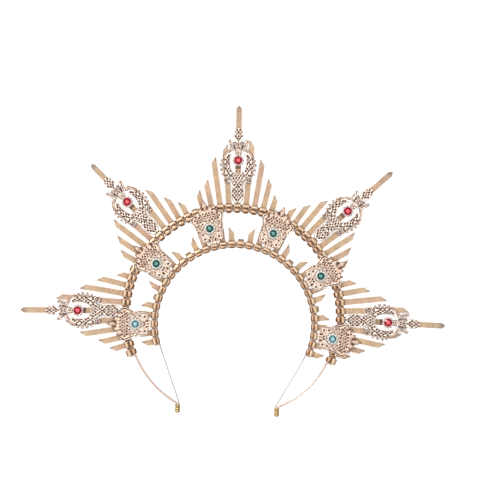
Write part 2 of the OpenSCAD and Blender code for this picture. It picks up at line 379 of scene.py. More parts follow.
def web(left: np.ndarray, right: np.ndarray, top: Callable, columns: int, edge: Edge) -> Draft:
    """Draws a thin cast web between two edge lines.

    Args:
        left: one edge's points.
        right: the other edge's points, as many.
        top: gives the height of its front for arrays of u and v.
        columns: strips between the edges.
        edge: how the face ends at its sides.

    Returns:
        The drawing of the web.
    """
    even = np.linspace(0.0, 1.0, columns + 1)
    share = (even - edge.pinch * np.sin(2.0 * math.pi * even) / (2.0 * math.pi))[None, :, None]
    flat = left[:, None] * (1.0 - share) + right[:, None] * share
    wide = np.linalg.norm(right - left, axis=1)[:, None]
    off = np.abs(share[..., 0] - 0.5) * wide
    shape = edge.rim + (1.0 - edge.rim) * smoothstep(0.0, edge.width, wide / 2.0 - off)
    shape *= 1.0 - edge.vein * (1.0 - smoothstep(0.0, edge.groove, off))
    upper = np.dstack([flat, top(flat[..., 0], flat[..., 1]) * shape])
    lower = np.dstack([flat[:, [-1, 0]], np.zeros((len(left), 2))])
    rings = np.concatenate([upper, lower], axis=1)
    # Painted shade: the lower a point of the web, the darker it is painted.
    return loft(rings, relief=np.clip(rings[..., 2].reshape(-1) / edge.crest, 0.0, 1.0))


@dataclass(frozen=True)
class Pit:
    """A blind pit of a casting, there on both sides of the middle line.

    Attributes:
        x: its place sideways.
        y: its place along.
        wide: half its width.
        long: half its length.
        turn: heading of its length, in degrees, on the right side.
        floor: height of its floor as a share of what the casting's pits have.
    """

    x: float
    y: float
    wide: float
    long: float
    turn: float = 0.0
    floor: float = 1.0


def pitted(pits: Sequence[Pit], high: float, low: float) -> Callable:
    """Returns what gives the height of a cast face with pits dug into it.

    Args:
        pits: the pits.
        high: height of the face far from them.
        low: height of their floors.

    Returns:
        The height for arrays of u and v.
    """
    def height(u: np.ndarray, v: np.ndarray) -> np.ndarray:
        """Returns the height, which is low in the pits and rounds up to ridges between them."""
        held = np.full(u.shape, high)
        for pit in pits:
            floor = low * pit.floor
            for side in (-1.0, 1.0):
                way = heading(side * pit.turn)
                du, dv = u - side * pit.x, v - pit.y
                along = (du * way[0] + dv * way[1]) / pit.long
                across = (du * way[1] - dv * way[0]) / pit.wide
                near = np.hypot(along, across)
                wall, ridge = smoothstep(0.8, 1.25, near), smoothstep(1.2, 2.0, near)
                held = np.minimum(held, floor + (high - floor) * (0.8 * wall + 0.2 * ridge))
        return held

    return height


def lattice(
    spans: Sequence[Triple], across: float, along: float, size: Flat, turn: float
) -> list[Pit]:
    """Returns pits that fill a strip of a casting in a loose quincunx, as if filed by hand.

    Args:
        spans: heights from low to high, each with the strip's inner and outer edge there.
        across: distance between the pits of a row.
        along: distance between the rows.
        size: half width and half length of a pit.
        turn: heading of its length.

    Returns:
        The pits of the right side.
    """
    heights, inner, outer = np.array(spans).T
    shift, twist, sink = 0.45, 50.0, 0.8  # how far a pit strays in place, in heading and in its floor
    pits = []
    for row, v in enumerate(np.arange(heights[0], heights[-1], along)):
        low, high = np.interp(v, heights, inner), np.interp(v, heights, outer)
        for i in range(math.ceil(high / across) + 1):
            u = across * (i + 0.5 * (row % 2))
            if not low <= u <= high - size[0]:
                continue
            stray = tint_of(7 * row + 3 * i) - 0.5
            other = tint_of(5 * row + 11 * i) - 0.5
            x = u + shift * stray if u else 0.0
            way = turn * (-1.0) ** (row // 2 + i) + twist * other if u else 0.0
            pits.append(Pit(x, float(v) + shift * other, *size, way, 1.0 + sink * stray))
    return pits


# Paths of the cast strands


def smooth(points: Sequence[Flat]) -> np.ndarray:
    """Returns a smooth open line through given points.

    Args:
        points: the points.

    Returns:
        The line's points.
    """
    p = np.array(points, dtype=float)
    p = np.vstack([2 * p[:1] - p[1:2], p, 2 * p[-1:] - p[-2:-1]])
    line = []
    for a, b, c, d in zip(p, p[1:], p[2:], p[3:]):
        count = max(2, math.ceil(np.linalg.norm(c - b) / LINE_STEP))
        for t in np.arange(count) / count:
            line.append(0.5 * (
                2 * b + (c - a) * t + (2 * a - 5 * b + 4 * c - d) * t**2 + (3 * b - a - 3 * c + d) * t**3
            ))
    return np.array(line + [p[-2]])


def resampled(line: np.ndarray, count: int) -> np.ndarray:
    """Returns a line with its points at even distances.

    Args:
        line: the line's points.
        count: how many points it gets.

    Returns:
        The new points.
    """
    along = np.concatenate([[0.0], np.cumsum(np.linalg.norm(np.diff(line, axis=0), axis=1))])
    where = np.linspace(0.0, along[-1], count)
    return np.column_stack([np.interp(where, along, line[:, i]) for i in range(line.shape[1])])


def scroll(centre: Flat, start: float, end: float, turn_from: float, turn_to: float) -> np.ndarray:
    """Returns a spiral.

    Args:
        centre: its middle.
        start: its radius at the start.
        end: its radius at the end.
        turn_from: heading of its start, in degrees.
        turn_to: heading of its end.

    Returns:
        Its points.
    """
    count = max(6, math.ceil(abs(turn_to - turn_from) / 14.0))
    t = np.linspace(0.0, 1.0, count)
    a = np.radians(turn_from + (turn_to - turn_from) * t)
    r = start + (end - start) * t
    return np.column_stack([centre[0] + r * np.sin(a), centre[1] + r * np.cos(a)])


def leaf(base: Flat, tip: Flat, width: float, bend: float) -> tuple[np.ndarray, np.ndarray]:
    """Returns the two sides of a leaf.

    Args:
        base: where its stalk is.
        tip: its point.
        width: its greatest width.
        bend: how far its middle line bows to the left of the way from base to tip.

    Returns:
        The left side's points and the right side's.
    """
    b, t = np.array(base), np.array(tip)
    along = t - b
    side = np.array([-along[1], along[0]]) / np.linalg.norm(along)
    share = np.array([0.0, 0.25, 0.55, 0.82, 1.0])
    half = width / 2.0 * np.array([0.3, 0.8, 1.0, 0.78, 0.3])
    middle = b + share[:, None] * along + side * (bend * 4.0 * share * (1.0 - share))[:, None]
    return middle + side * half[:, None], middle - side * half[:, None]


@dataclass
class Strand:
    """One round strand of the cast lace.

    Attributes:
        path: its middle line's points, in the lace's own frame.
        gauge: its width as a share of the lace's usual strand.
        lift: height of its middle above the lace's own middle.
        closed: true for a loop.
        taper: how much of its width it loses towards its ends.
    """

    path: np.ndarray
    gauge: float = 1.0
    lift: float = 0.0
    closed: bool = False
    taper: float = 0.0

    def mirrored(self) -> "Strand":
        """Returns the strand's twin on the other side of the middle line."""
        return replace(self, path=self.path * np.array([-1.0, 1.0]))

    def points(self) -> np.ndarray:
        """Returns its points with their height."""
        return np.column_stack([self.path, np.full(len(self.path), self.lift)])

    def gauges(self) -> np.ndarray:
        """Returns its width at each point."""
        t = np.linspace(-1.0, 1.0, len(self.path))
        return self.gauge * (1.0 - self.taper * np.abs(t) ** 2.5)


@dataclass(frozen=True)
class Spot:
    """Where one copy of a repeated shape goes.

    Attributes:
        at: its place.
        turn: its turn about X, Y and Z, in degrees.
        size: its scale along X, Y and Z.
        tint: its share of the colour's variation.
    """

    at: Triple
    turn: Triple = (0.0, 0.0, 0.0)
    size: Triple = (1.0, 1.0, 1.0)
    tint: float = 0.5


# Node trees


class Value:
    """A shader socket that adds its own maths nodes when it is used in an expression."""

    def __init__(self, shader: "Shader", socket: bpy.types.NodeSocket) -> None:
        """Wraps a socket of a shader's tree."""
        self.shader = shader
        self.socket = socket

    def _maths(
        self, operation: str, first: "Value | float", second: "Value | float", clamp: bool = False
    ) -> "Value":
        """Returns the result of one new maths node."""
        settings = {"operation": operation, "use_clamp": clamp}
        return self.shader.value("Value", "ShaderNodeMath", settings, {0: first, 1: second})

    def __add__(self, other: "Value | float") -> "Value":
        """Returns self + other."""
        return self._maths("ADD", self, other)

    __radd__ = __add__

    def __sub__(self, other: "Value | float") -> "Value":
        """Returns self - other."""
        return self._maths("SUBTRACT", self, other)

    def __rsub__(self, other: "Value | float") -> "Value":
        """Returns other - self."""
        return self._maths("SUBTRACT", other, self)

    def __mul__(self, other: "Value | float") -> "Value":
        """Returns self * other."""
        return self._maths("MULTIPLY", self, other)

    __rmul__ = __mul__

    def clamped(self) -> "Value":
        """Returns the value held between 0 and 1."""
        return self._maths("ADD", self, 0.0, clamp=True)

    def rise(self, low: float, high: float) -> "Value":
        """Returns 0 below low, 1 above high and a soft rise between them."""
        settings = {"interpolation_type": "SMOOTHSTEP", "clamp": True}
        span = {"Value": self, "From Min": low, "From Max": high}
        return self.shader.value("Result", "ShaderNodeMapRange", settings, span)


class Nodes:
    """A node tree of any kind, and the one method that adds its nodes."""

    def __init__(self, tree: bpy.types.NodeTree) -> None:
        """Wraps the tree."""
        self.tree = tree

    def node(
        self, kind: str, settings: dict | None = None, inputs: dict | None = None
    ) -> bpy.types.NodeOutputs:
        """Adds a node.

        Args:
            kind: its type.
            settings: its own settings, set first; stops are a ramp's positions and greys.
            inputs: the value or the link of each named or numbered socket.

        Returns:
            The node's outputs.
        """
        node = self.tree.nodes.new(kind)
        for key, value in (settings or {}).items():
            if key == "stops":
                self.set_stops(node.color_ramp.elements, value)
            else:
                setattr(node, key, value)
        for key, value in (inputs or {}).items():
            self.feed(node.inputs[key], value)
        return node.outputs

    def set_stops(self, elements: bpy.types.ColorRampElements, stops: Sequence[Flat]) -> None:
        """Sets the stops of a new ramp.

        Args:
            elements: the two stops that it starts with.
            stops: the position and the grey of each stop.
        """
        elements[0].position, elements[1].position = stops[0][0], stops[-1][0]
        for position, _ in stops[1:-1]:
            elements.new(position)
        for element, (_, grey) in zip(elements, stops):
            element.color = (grey, grey, grey, 1.0)

    def feed(self, socket: bpy.types.NodeSocket, value: object) -> None:
        """Links something to a socket, or sets the socket's own number or colour.

        Args:
            socket: the socket.
            value: a Value, another socket, a number or a colour.
        """
        if isinstance(value, Value):
            value = value.socket
        if isinstance(value, bpy.types.NodeSocket):
            self.tree.links.new(value, socket)
        elif isinstance(value, tuple) and len(value) == 3 and socket.type == "RGBA":
            socket.default_value = (*value, 1.0)
        else:
            socket.default_value = value


class Tree(Nodes):
    """A geometry node tree that is built once and run on many drawings."""

    def __init__(self, name: str, inputs: dict[str, str]) -> None:
        """Starts the tree.

        Args:
            name: the tree's name.
            inputs: the kind of socket for each named input.
        """
        super().__init__(bpy.data.node_groups.new(name, "GeometryNodeTree"))
        ports = self.tree.interface
        ports.new_socket("Geometry", in_out="INPUT", socket_type="NodeSocketGeometry")
        self.identifiers = {
            label: ports.new_socket(label, in_out="INPUT", socket_type=kind).identifier
            for label, kind in inputs.items()
        }
        ports.new_socket("Geometry", in_out="OUTPUT", socket_type="NodeSocketGeometry")
        self.entry = self.tree.nodes.new("NodeGroupInput").outputs
        self.exit = self.tree.nodes.new("NodeGroupOutput").inputs

    def finish(self, geometry: bpy.types.NodeSocket) -> None:
        """Ends the tree: copies become real and the finish is set.

        Args:
            geometry: what the tree has made.
        """
        real = self.node("GeometryNodeRealizeInstances", inputs={"Geometry": geometry})
        dressed = self.node("GeometryNodeSetMaterial", inputs={
            "Geometry": real["Geometry"],
            "Material": self.entry["Material"],
        })
        self.feed(self.exit["Geometry"], dressed["Geometry"])

    def run(self, mesh: bpy.types.Mesh, values: dict[str, object]) -> Draft:
        """Runs the tree on a mesh and reads the plain result.

        Args:
            mesh: what the tree starts from, which is removed afterwards.
            values: the value of each named input.

        Returns:
            The result as a drawing.
        """
        carrier = stand(mesh.name, mesh)
        modifier = carrier.modifiers.new(self.tree.name, "NODES")
        modifier.node_group = self.tree
        for label, value in values.items():
            modifier[self.identifiers[label]] = value
        depsgraph = bpy.context.evaluated_depsgraph_get()
        result = bpy.data.meshes.new_from_object(carrier.evaluated_get(depsgraph), depsgraph=depsgraph)
        draft = Draft.read(result)
        bpy.data.meshes.remove(result)
        bpy.data.objects.remove(carrier)
        bpy.data.meshes.remove(mesh)
        return draft


class Sweep(Tree):
    """Sweeps a profile along every strand of a drawing, and paints each point's shading by its height."""

    def __init__(self) -> None:
        """Builds the tree."""
        super().__init__("strand_sweep", {
            "Profile": "NodeSocketObject",
            "Crest": "NodeSocketFloat",
            "Material": "NodeSocketMaterial",
        })
        line = self.node("GeometryNodeMeshToCurve", inputs={"Mesh": self.entry["Geometry"]})
        level = self.node("GeometryNodeSetCurveNormal", {"mode": "Z_UP"}, {"Curve": line["Curve"]})
        shape = self.node("GeometryNodeObjectInfo", inputs={"Object": self.entry["Profile"]})
        section = self.node("GeometryNodeMeshToCurve", inputs={"Mesh": shape["Geometry"]})
        gauge = self.node("GeometryNodeInputNamedAttribute", {"data_type": "FLOAT"}, {"Name": "gauge"})
        tube = self.node("GeometryNodeCurveToMesh", inputs={
            "Curve": level["Curve"],
            "Profile Curve": section["Curve"],
            "Scale": gauge["Attribute"],
            "Fill Caps": True,
        })
        position = self.node("GeometryNodeInputPosition")["Position"]
        place = self.node("ShaderNodeSeparateXYZ", inputs={"Vector": position})
        # Painted shade: the higher a point of a strand, the lighter it is painted.
        relief = self.node(
            "ShaderNodeMath",
            {"operation": "DIVIDE", "use_clamp": True},
            {0: place["Z"], 1: self.entry["Crest"]},
        )
        marked = self.node(
            "GeometryNodeStoreNamedAttribute",
            {"data_type": "FLOAT", "domain": "POINT"},
            {"Geometry": tube["Mesh"], "Name": "relief", "Value": relief["Value"]},
        )
        self.finish(marked["Geometry"])

    def strands(self, strands: Sequence[Strand], profile: np.ndarray, crest: float, middle: float) -> Draft:
        """Sweeps a set of strands.

        Args:
            strands: the strands.
            profile: the section's points, across and up, counterclockwise.
            crest: height at which the relief is 1.
            middle: height of the middle of a strand without lift.

        Returns:
            The drawing of the swept strands.
        """
        points, edges, gauges = [], [], []
        for strand in strands:
            first = len(gauges)
            own = strand.points()
            widths = strand.gauges()
            own[:, 2] += middle * (2.0 - widths)
            points.extend(own)
            gauges.extend(widths)
            edges.extend((first + i, first + i + 1) for i in range(len(own) - 1))
            if strand.closed:
                edges.append((first + len(own) - 1, first))
        mesh = bpy.data.meshes.new("strand_lines")
        mesh.from_pydata([tuple(p) for p in points], edges, [])
        mesh.attributes.new("gauge", "FLOAT", "POINT").data.foreach_set("value", gauges)
        outline = bpy.data.meshes.new("strand_section")
        flipped = [(x, -z, 0.0) for x, z in profile[::-1]]
        count = len(flipped)
        outline.from_pydata(flipped, [(i, (i + 1) % count) for i in range(count)], [])
        section = stand("strand_section", outline)
        draft = self.run(mesh, {"Profile": section, "Crest": crest})
        bpy.data.objects.remove(section)
        bpy.data.meshes.remove(outline)
        return draft


class Scatter(Tree):
    """Puts a copy of a shape at each spot."""

    def __init__(self) -> None:
        """Builds the tree."""
        super().__init__("placed_copies", {"Shape": "NodeSocketObject", "Material": "NodeSocketMaterial"})
        turn = self.node("GeometryNodeInputNamedAttribute", {"data_type": "FLOAT_VECTOR"}, {"Name": "turn"})
        size = self.node("GeometryNodeInputNamedAttribute", {"data_type": "FLOAT_VECTOR"}, {"Name": "size"})
        shape = self.node("GeometryNodeObjectInfo", inputs={"Object": self.entry["Shape"]})
        rotation = self.node("FunctionNodeEulerToRotation", inputs={"Euler": turn["Attribute"]})
        copies = self.node("GeometryNodeInstanceOnPoints", inputs={
            "Points": self.entry["Geometry"],
            "Instance": shape["Geometry"],
            "Rotation": rotation["Rotation"],
            "Scale": size["Attribute"],
        })
        self.finish(copies["Instances"])

    def copies(self, shape: Draft, spots: Sequence[Spot]) -> Draft:
        """Places the copies.

        Args:
            shape: what is repeated.
            spots: where each copy goes.

        Returns:
            The drawing of all copies.
        """
        mesh = bpy.data.meshes.new("copy_spots")
        mesh.from_pydata([spot.at for spot in spots], [], [])
        turns = np.radians([spot.turn for spot in spots]).ravel()
        sizes = np.array([spot.size for spot in spots]).ravel()
        tints = [spot.tint for spot in spots]
        mesh.attributes.new("turn", "FLOAT_VECTOR", "POINT").data.foreach_set("vector", turns)
        mesh.attributes.new("size", "FLOAT_VECTOR", "POINT").data.foreach_set("vector", sizes)
        mesh.attributes.new("tint", "FLOAT", "POINT").data.foreach_set("value", tints)
        shape_mesh = shape.mesh("copy_shape", leave_out=("tint",))
        source = stand("copy_shape", shape_mesh)
        draft = self.run(mesh, {"Shape": source})
        bpy.data.objects.remove(source)
        bpy.data.meshes.remove(shape_mesh)
        return draft


# Finishes


class Shader(Nodes):
    """The node tree of one material."""

    def __init__(self, name: str) -> None:
        """Starts the material with a bare Principled shader."""
        self.material = bpy.data.materials.new(name)
        self.material.use_nodes = True
        super().__init__(self.material.node_tree)
        self.surface = self.tree.nodes["Principled BSDF"]
        self.place = self.node("ShaderNodeTexCoord")["Object"]

    def value(self, output: str, *node: object) -> Value:
        """Returns one output of a new node as a Value; the rest is what the method node takes."""
        return Value(self, self.node(*node)[output])

    def attribute(self, name: str) -> Value:
        """Returns a value that the mesh carries."""
        return self.value("Fac", "ShaderNodeAttribute", {"attribute_name": name})

    def noise(self, size_mm: float, detail: float, stretch: Triple = (1.0, 1.0, 1.0)) -> Value:
        """Returns smooth noise.

        Args:
            size_mm: size of its patches.
            detail: how many finer layers it has.
            stretch: factor on each axis before it is read.

        Returns:
            The noise, about 0.5 in the middle.
        """
        spread = self.node("ShaderNodeMapping", inputs={"Vector": self.place, "Scale": stretch})["Vector"]
        out = self.node(
            "ShaderNodeTexNoise",
            inputs={"Vector": spread, "Scale": 1.0 / (size_mm * METRE), "Detail": detail},
        )
        return Value(self, out["Fac"])

    def mix(self, share: Value | float, first: object, second: object) -> bpy.types.NodeSocket:
        """Returns the mix of two colours, which is the first one where the share is 0."""
        return self.node("ShaderNodeMix", {"data_type": "RGBA"}, {0: share, 6: first, 7: second})[2]

    def bump(self, height: Value, depth_mm: float, strength: float) -> bpy.types.NodeSocket:
        """Returns a normal that follows a height."""
        inputs = {"Height": height, "Distance": depth_mm * METRE, "Strength": strength}
        return self.node("ShaderNodeBump", inputs=inputs)["Normal"]

    def set(self, **inputs: object) -> bpy.types.Material:
        """Sets the surface's own sockets.

        Args:
            inputs: what each socket gets, its name written with _ for a space.

        Returns:
            The material.
        """
        for key, value in inputs.items():
            self.feed(self.surface.inputs[key.replace("_", " ")], value)
        return self.material


@dataclass(frozen=True)
class Finish:
    """A finish of the record's material slots.

    Attributes:
        slot: name of that slot.
        shade: name of this shade of it, where it has more than one.
    """

    slot: str
    shade: str = field(default="plain", kw_only=True)

    def material(self) -> bpy.types.Material:
        """Returns the finish's material, made at its first use."""
        name = f"{self.slot}_{self.shade}"
        return bpy.data.materials.get(name) or self.build(Shader(name))

    def build(self, shader: Shader) -> bpy.types.Material:
        """Fills in a shader; each kind of finish has its own way.

        Args:
            shader: the new shader.

        Returns:
            Its material.
        """
        raise NotImplementedError


@dataclass(frozen=True)
class TiePaint(Finish):
    """Metallic paint on nylon: satin on the rays, glossy on the heads and loops, with painted shade where the
    shading is low.

    Attributes:
        satin: colour of the rays.
        pink: their colour where the tint is high.
        olive: their colour where the tint is low.
        worn: their colour where the paint is rubbed.
        glossy: colour of the heads and loops.
        groove: painted shade of the rays' channels and sides, and of their stretches under the castings.
        gap_shade: painted shade in the gaps between the heads.
        cut_end: colour of the tails' cut ends.
    """

    satin: Colour = (1.0, 0.71, 0.46)
    pink: Colour = (0.97, 0.67, 0.48)
    olive: Colour = (0.93, 0.70, 0.46)
    worn: Colour = (0.92, 0.72, 0.55)
    glossy: Colour = (0.97, 0.72, 0.50)
    groove: Colour = (0.10, 0.035, 0.014)
    gap_shade: Colour = (0.30, 0.13, 0.055)
    cut_end: Colour = (0.13, 0.105, 0.085)

    def build(self, shader: Shader) -> bpy.types.Material:
        """Fills in the shader as Finish.build says."""
        relief = shader.attribute("relief")
        tint = shader.attribute("tint")
        gloss = shader.attribute("gloss")
        wear = shader.attribute("wear")
        clouds = shader.noise(6.0, 5.0)
        grain = shader.noise(0.5, 4.0)
        warm = shader.mix(tint.rise(0.55, 1.0), self.satin, self.pink)
        satin = shader.mix((1.0 - tint.rise(0.0, 0.42)) * 0.9, warm, self.olive)
        rubbed = shader.mix((wear + (clouds - 0.5) * 0.5).rise(0.2, 1.0), satin, self.worn)
        body = shader.mix(gloss, rubbed, self.glossy)
        # Painted shade: where the shading is low the paint turns to the groove colour on the rays and to the
        # gap shade on the heads.
        shade = ((1.0 - relief.rise(0.0, 0.9)) * (0.94 - 0.04 * gloss) + (clouds - 0.5) * 0.5).clamped()
        deep = shader.mix(gloss, shader.mix(wear.rise(0.85, 0.98), self.groove, self.cut_end), self.gap_shade)
        colour = shader.mix(shade, body, deep)
        roughness = 0.46 - 0.2 * gloss + (clouds - 0.5) * 0.16 + (grain - 0.5) * 0.1
        return shader.set(
            Base_Color=colour,
            Metallic=(0.3 + 0.6 * gloss).clamped(),
            Roughness=roughness.clamped(),
            Normal=shader.bump(grain + clouds * 0.6, 0.05, 0.5),
        )


@dataclass(frozen=True)
class CastMetal(Finish):
    """Polished casting: crests with a painted highlight, a warm field, flanks in painted shade and recesses
    with patina and painted shade.

    Attributes:
        crest: colour of the crests, polish and a painted highlight.
        dull: the crests' colour in patches that are less polished.
        field_tone: colour of the flat parts.
        rose: the crests' colour where the wear is 1.
        rose_dull: the same in patches that are less polished.
        rose_field: the flat parts' colour where the wear is 1.
        flank: colour of the flanks, painted shade with some patina.
        recess: colour of the recesses, patina and painted shade.
        stops: relief at which each colour gives way to the next, from the recess to the crest.
        rough: roughness of the recesses, the crests being smoother.
        metal: how metallic the recesses are, the crests being more so.
        mottle: how much of the dull colour lies on the crests in patches.
    """

    crest: Colour = (0.94, 0.87, 0.81)
    dull: Colour = (0.76, 0.62, 0.53)
    field_tone: Colour = (0.76, 0.60, 0.50)
    rose: Colour = (0.84, 0.73, 0.62)
    rose_dull: Colour = (0.74, 0.56, 0.48)
    rose_field: Colour = (0.84, 0.65, 0.52)
    flank: Colour = (0.42, 0.22, 0.14)
    recess: Colour = (0.10, 0.035, 0.018)
    stops: tuple[float, ...] = (0.25, 0.50, 0.74, 0.80, 0.93)
    rough: float = 0.5
    metal: float = 0.65
    mottle: float = 0.85

    def build(self, shader: Shader) -> bpy.types.Material:
        """Fills in the shader as Finish.build says."""
        relief = shader.attribute("relief")
        wear = shader.attribute("wear")
        blotch = shader.noise(1.8, 4.0)
        pits = shader.noise(0.35, 3.0)
        patches = shader.noise(2.6, 3.0)
        # The shading with blotchy noise on it: it sets where patina, painted shade and painted highlight fall.
        worn = relief + (blotch - 0.5) * (0.1 + 0.5 * wear)
        low, brown, warm, field_top, top = self.stops
        tint = shader.attribute("tint")
        patchy = (patches.rise(0.35, 0.65) + 0.3 * (tint - 0.5)).clamped() * self.mottle
        gilt = shader.mix(patchy, self.crest, self.dull)
        crest = shader.mix(wear, gilt, shader.mix(patchy, self.rose, self.rose_dull))
        colour = shader.mix(worn.rise(low, brown), self.recess, self.flank)
        face = shader.mix(wear, self.field_tone, self.rose_field)
        colour = shader.mix(worn.rise(brown, warm), colour, face)
        # Painted highlight and polish on the crests.
        polish_and_highlight = worn.rise(field_top, top)
        colour = shader.mix(polish_and_highlight, colour, crest)
        return shader.set(
            Base_Color=colour,
            Metallic=(self.metal + 0.3 * polish_and_highlight).clamped(),
            Roughness=(self.rough - 0.3 * worn.rise(brown, top) + (pits - 0.5) * 0.14).clamped(),
            Normal=shader.bump(pits + blotch, 0.05, 0.5),
        )


@dataclass(frozen=True)
class DrawnMetal(Finish):
    """Drawn or turned metal with fine marks, faint stains and painted shade on its flanks.

    Attributes:
        colour: colour of the bare metal.
        stain_and_shade: colour of the painted shade on its flanks and recesses, and of its stains.
        roughness: its roughness.
        mark_mm: size of its marks.
    """

    colour: Colour
    stain_and_shade: Colour
    roughness: float
    mark_mm: float = 0.6

    def build(self, shader: Shader) -> bpy.types.Material:
        """Fills in the shader as Finish.build says."""
        stains = shader.noise(5.0, 5.0)
        marks = shader.noise(self.mark_mm, 2.0, (1.0, 0.2, 1.0))
        relief = shader.attribute("relief")
        # Painted shade where the shading is low, plus real stains where the noise is high.
        stain_and_shade_mask = ((1.0 - relief.rise(0.0, 0.6)) * 0.8 + stains.rise(0.55, 0.8) * 0.3).clamped()
        return shader.set(
            Base_Color=shader.mix(stain_and_shade_mask, self.colour, self.stain_and_shade),
            Metallic=1.0,
            Roughness=(self.roughness + (stains - 0.5) * 0.15 + (marks - 0.5) * 0.1).clamped(),
            Normal=shader.bump(marks, 0.03, 0.4),
        )


@dataclass(frozen=True)
class CutGlass(Finish):
    """Foil-backed glass, whose facets carry a painted brightness for the light they send back, and which glows
    faintly with painted light.

    Attributes:
        dark: colour of the facets painted darkest.
        body: colour of most facets.
        bright: colour of the facets painted brightest, a painted reflection.
    """

    dark: Colour
    body: Colour
    bright: Colour

    def build(self, shader: Shader) -> bpy.types.Material:
        """Fills in the shader as Finish.build says."""
        relief = shader.attribute("relief")
        sparkle = shader.noise(0.9, 2.0)
        # Painted reflection: each facet's shading, with a glint noise on it, picks its colour.
        lit = relief + (sparkle - 0.5) * 0.2
        deep = shader.mix(lit.rise(0.0, 0.5), self.dark, self.body)
        colour = shader.mix(lit.rise(0.5, 1.0), deep, self.bright)
        return shader.set(
            Base_Color=colour,
            Metallic=0.0,
            Roughness=(0.09 + (sparkle - 0.5) * 0.06).clamped(),
            Coat_Weight=0.4,
            Coat_Roughness=0.04,
            # Painted glow: the stone gives off its own colour, though it is no lamp.
            Emission_Color=colour,
            Emission_Strength=0.12,
            Normal=shader.bump(sparkle, 0.01, 0.25),
        )


@dataclass(frozen=True)
class StudioPaper(Finish):
    """Pale seamless paper under the piece.

    Attributes:
        colour: colour of the paper.
        fleck: factor on the colour of its paler flecks.
    """

    colour: Colour = (0.93, 0.93, 0.93)
    fleck: float = 1.03

    def build(self, shader: Shader) -> bpy.types.Material:
        """Fills in the shader as Finish.build says."""
        fibre = shader.noise(1.5, 3.0)
        paler = tuple(c * self.fleck for c in self.colour)
        return shader.set(
            Base_Color=shader.mix(fibre.rise(0.3, 0.7), self.colour, paler),
            Roughness=0.9,
            Emission_Color=(1.0, 1.0, 1.0),
            Emission_Strength=0.75,
            Normal=shader.bump(fibre, 0.02, 0.2),
        )


TIE_PAINT = TiePaint("tie_gold_paint")
OUTER_WIRE = DrawnMetal("outer_wire_gold", (0.76, 0.59, 0.50), (0.20, 0.10, 0.07), 0.22)
INNER_WIRE = DrawnMetal("inner_wire_steel", (0.60, 0.59, 0.56), (0.34, 0.32, 0.28), 0.32)
BRASS = DrawnMetal("ferrule_brass", (0.72, 0.50, 0.22), (0.10, 0.055, 0.02), 0.22, 0.4)
FILIGREE = CastMetal("filigree_rose_gold")
PLATED = {"stops": (0.0, 0.2, 0.4, 0.5, 0.8), "rough": 0.6, "metal": 0.05}
SILVER = CastMetal(
    "setting_silver",
    crest=(0.94, 0.95, 0.91),
    field_tone=(0.84, 0.87, 0.83),
    flank=(0.70, 0.74, 0.69),
    recess=(0.38, 0.36, 0.32),
    mottle=0.0,
    **PLATED,
)
ROSY_SILVER = CastMetal(
    "setting_silver",
    shade="rosy",
    crest=(1.0, 0.87, 0.84),
    dull=(1.0, 0.78, 0.75),
    field_tone=(1.0, 0.80, 0.76),
    flank=(1.0, 0.72, 0.67),
    recess=(0.80, 0.54, 0.49),
    mottle=0.6,
    **PLATED,
)
RED_GLASS = CutGlass("stone_red", (0.17, 0.0, 0.012), (0.62, 0.006, 0.03), (0.96, 0.12, 0.14))
GREEN_GLASS = CutGlass("stone_green", (0.003, 0.035, 0.03), (0.01, 0.12, 0.10), (0.09, 0.36, 0.30))
AQUA_GLASS = CutGlass("stone_aqua", (0.015, 0.05, 0.09), (0.20, 0.47, 0.54), (0.44, 0.72, 0.78))
PAPER = StudioPaper("studio_paper")


# Sub-assemblies


class Workshop:
    """What every sub-assembly builds with: the node trees, and how a drawing becomes a piece."""

    def __init__(self) -> None:
        """Builds the trees."""
        self.sweep = Sweep()
        self.scatter = Scatter()

    def piece(self, name: str, draft: Draft, finish: Finish, node: str, sharp: float = 38.0) -> None:
        """Turns a drawing into a piece that stands for a CAD node.

        Args:
            name: the piece's name.
            draft: its drawing.
            finish: its finish.
            node: the node that it stands for.
            sharp: angle in degrees above which an edge stays sharp.
        """
        mesh = draft.mesh(name, METRE)
        mesh.materials.append(finish.material())
        mesh.polygons.foreach_set("use_smooth", [True] * len(mesh.polygons))
        mesh.set_sharp_from_angle(angle=math.radians(sharp))
        piece = stand(name, mesh)
        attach(piece, "root")
        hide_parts(node)
        LOG.info("%s: %d faces", name, len(mesh.polygons))


class Cut(Enum):
    """How a tie's tail is cut."""

    LONG_LEFT = -1
    PENCIL = 0
    LONG_RIGHT = 1
    FLUSH = 2


@dataclass(frozen=True)
class Block:
    """One block of a tie's head.

    Attributes:
        width: its width along the wire.
        back: its side towards the wire, from the head's middle.
        front: its side towards the tail.
        high: height of its upper face.
        flank: painted shading of its flanks.
        top: painted shading of its upper face.
        gloss: how glossy it is.
    """

    width: float
    back: float
    front: float
    high: float
    flank: float
    top: float
    gloss: float = 1.0


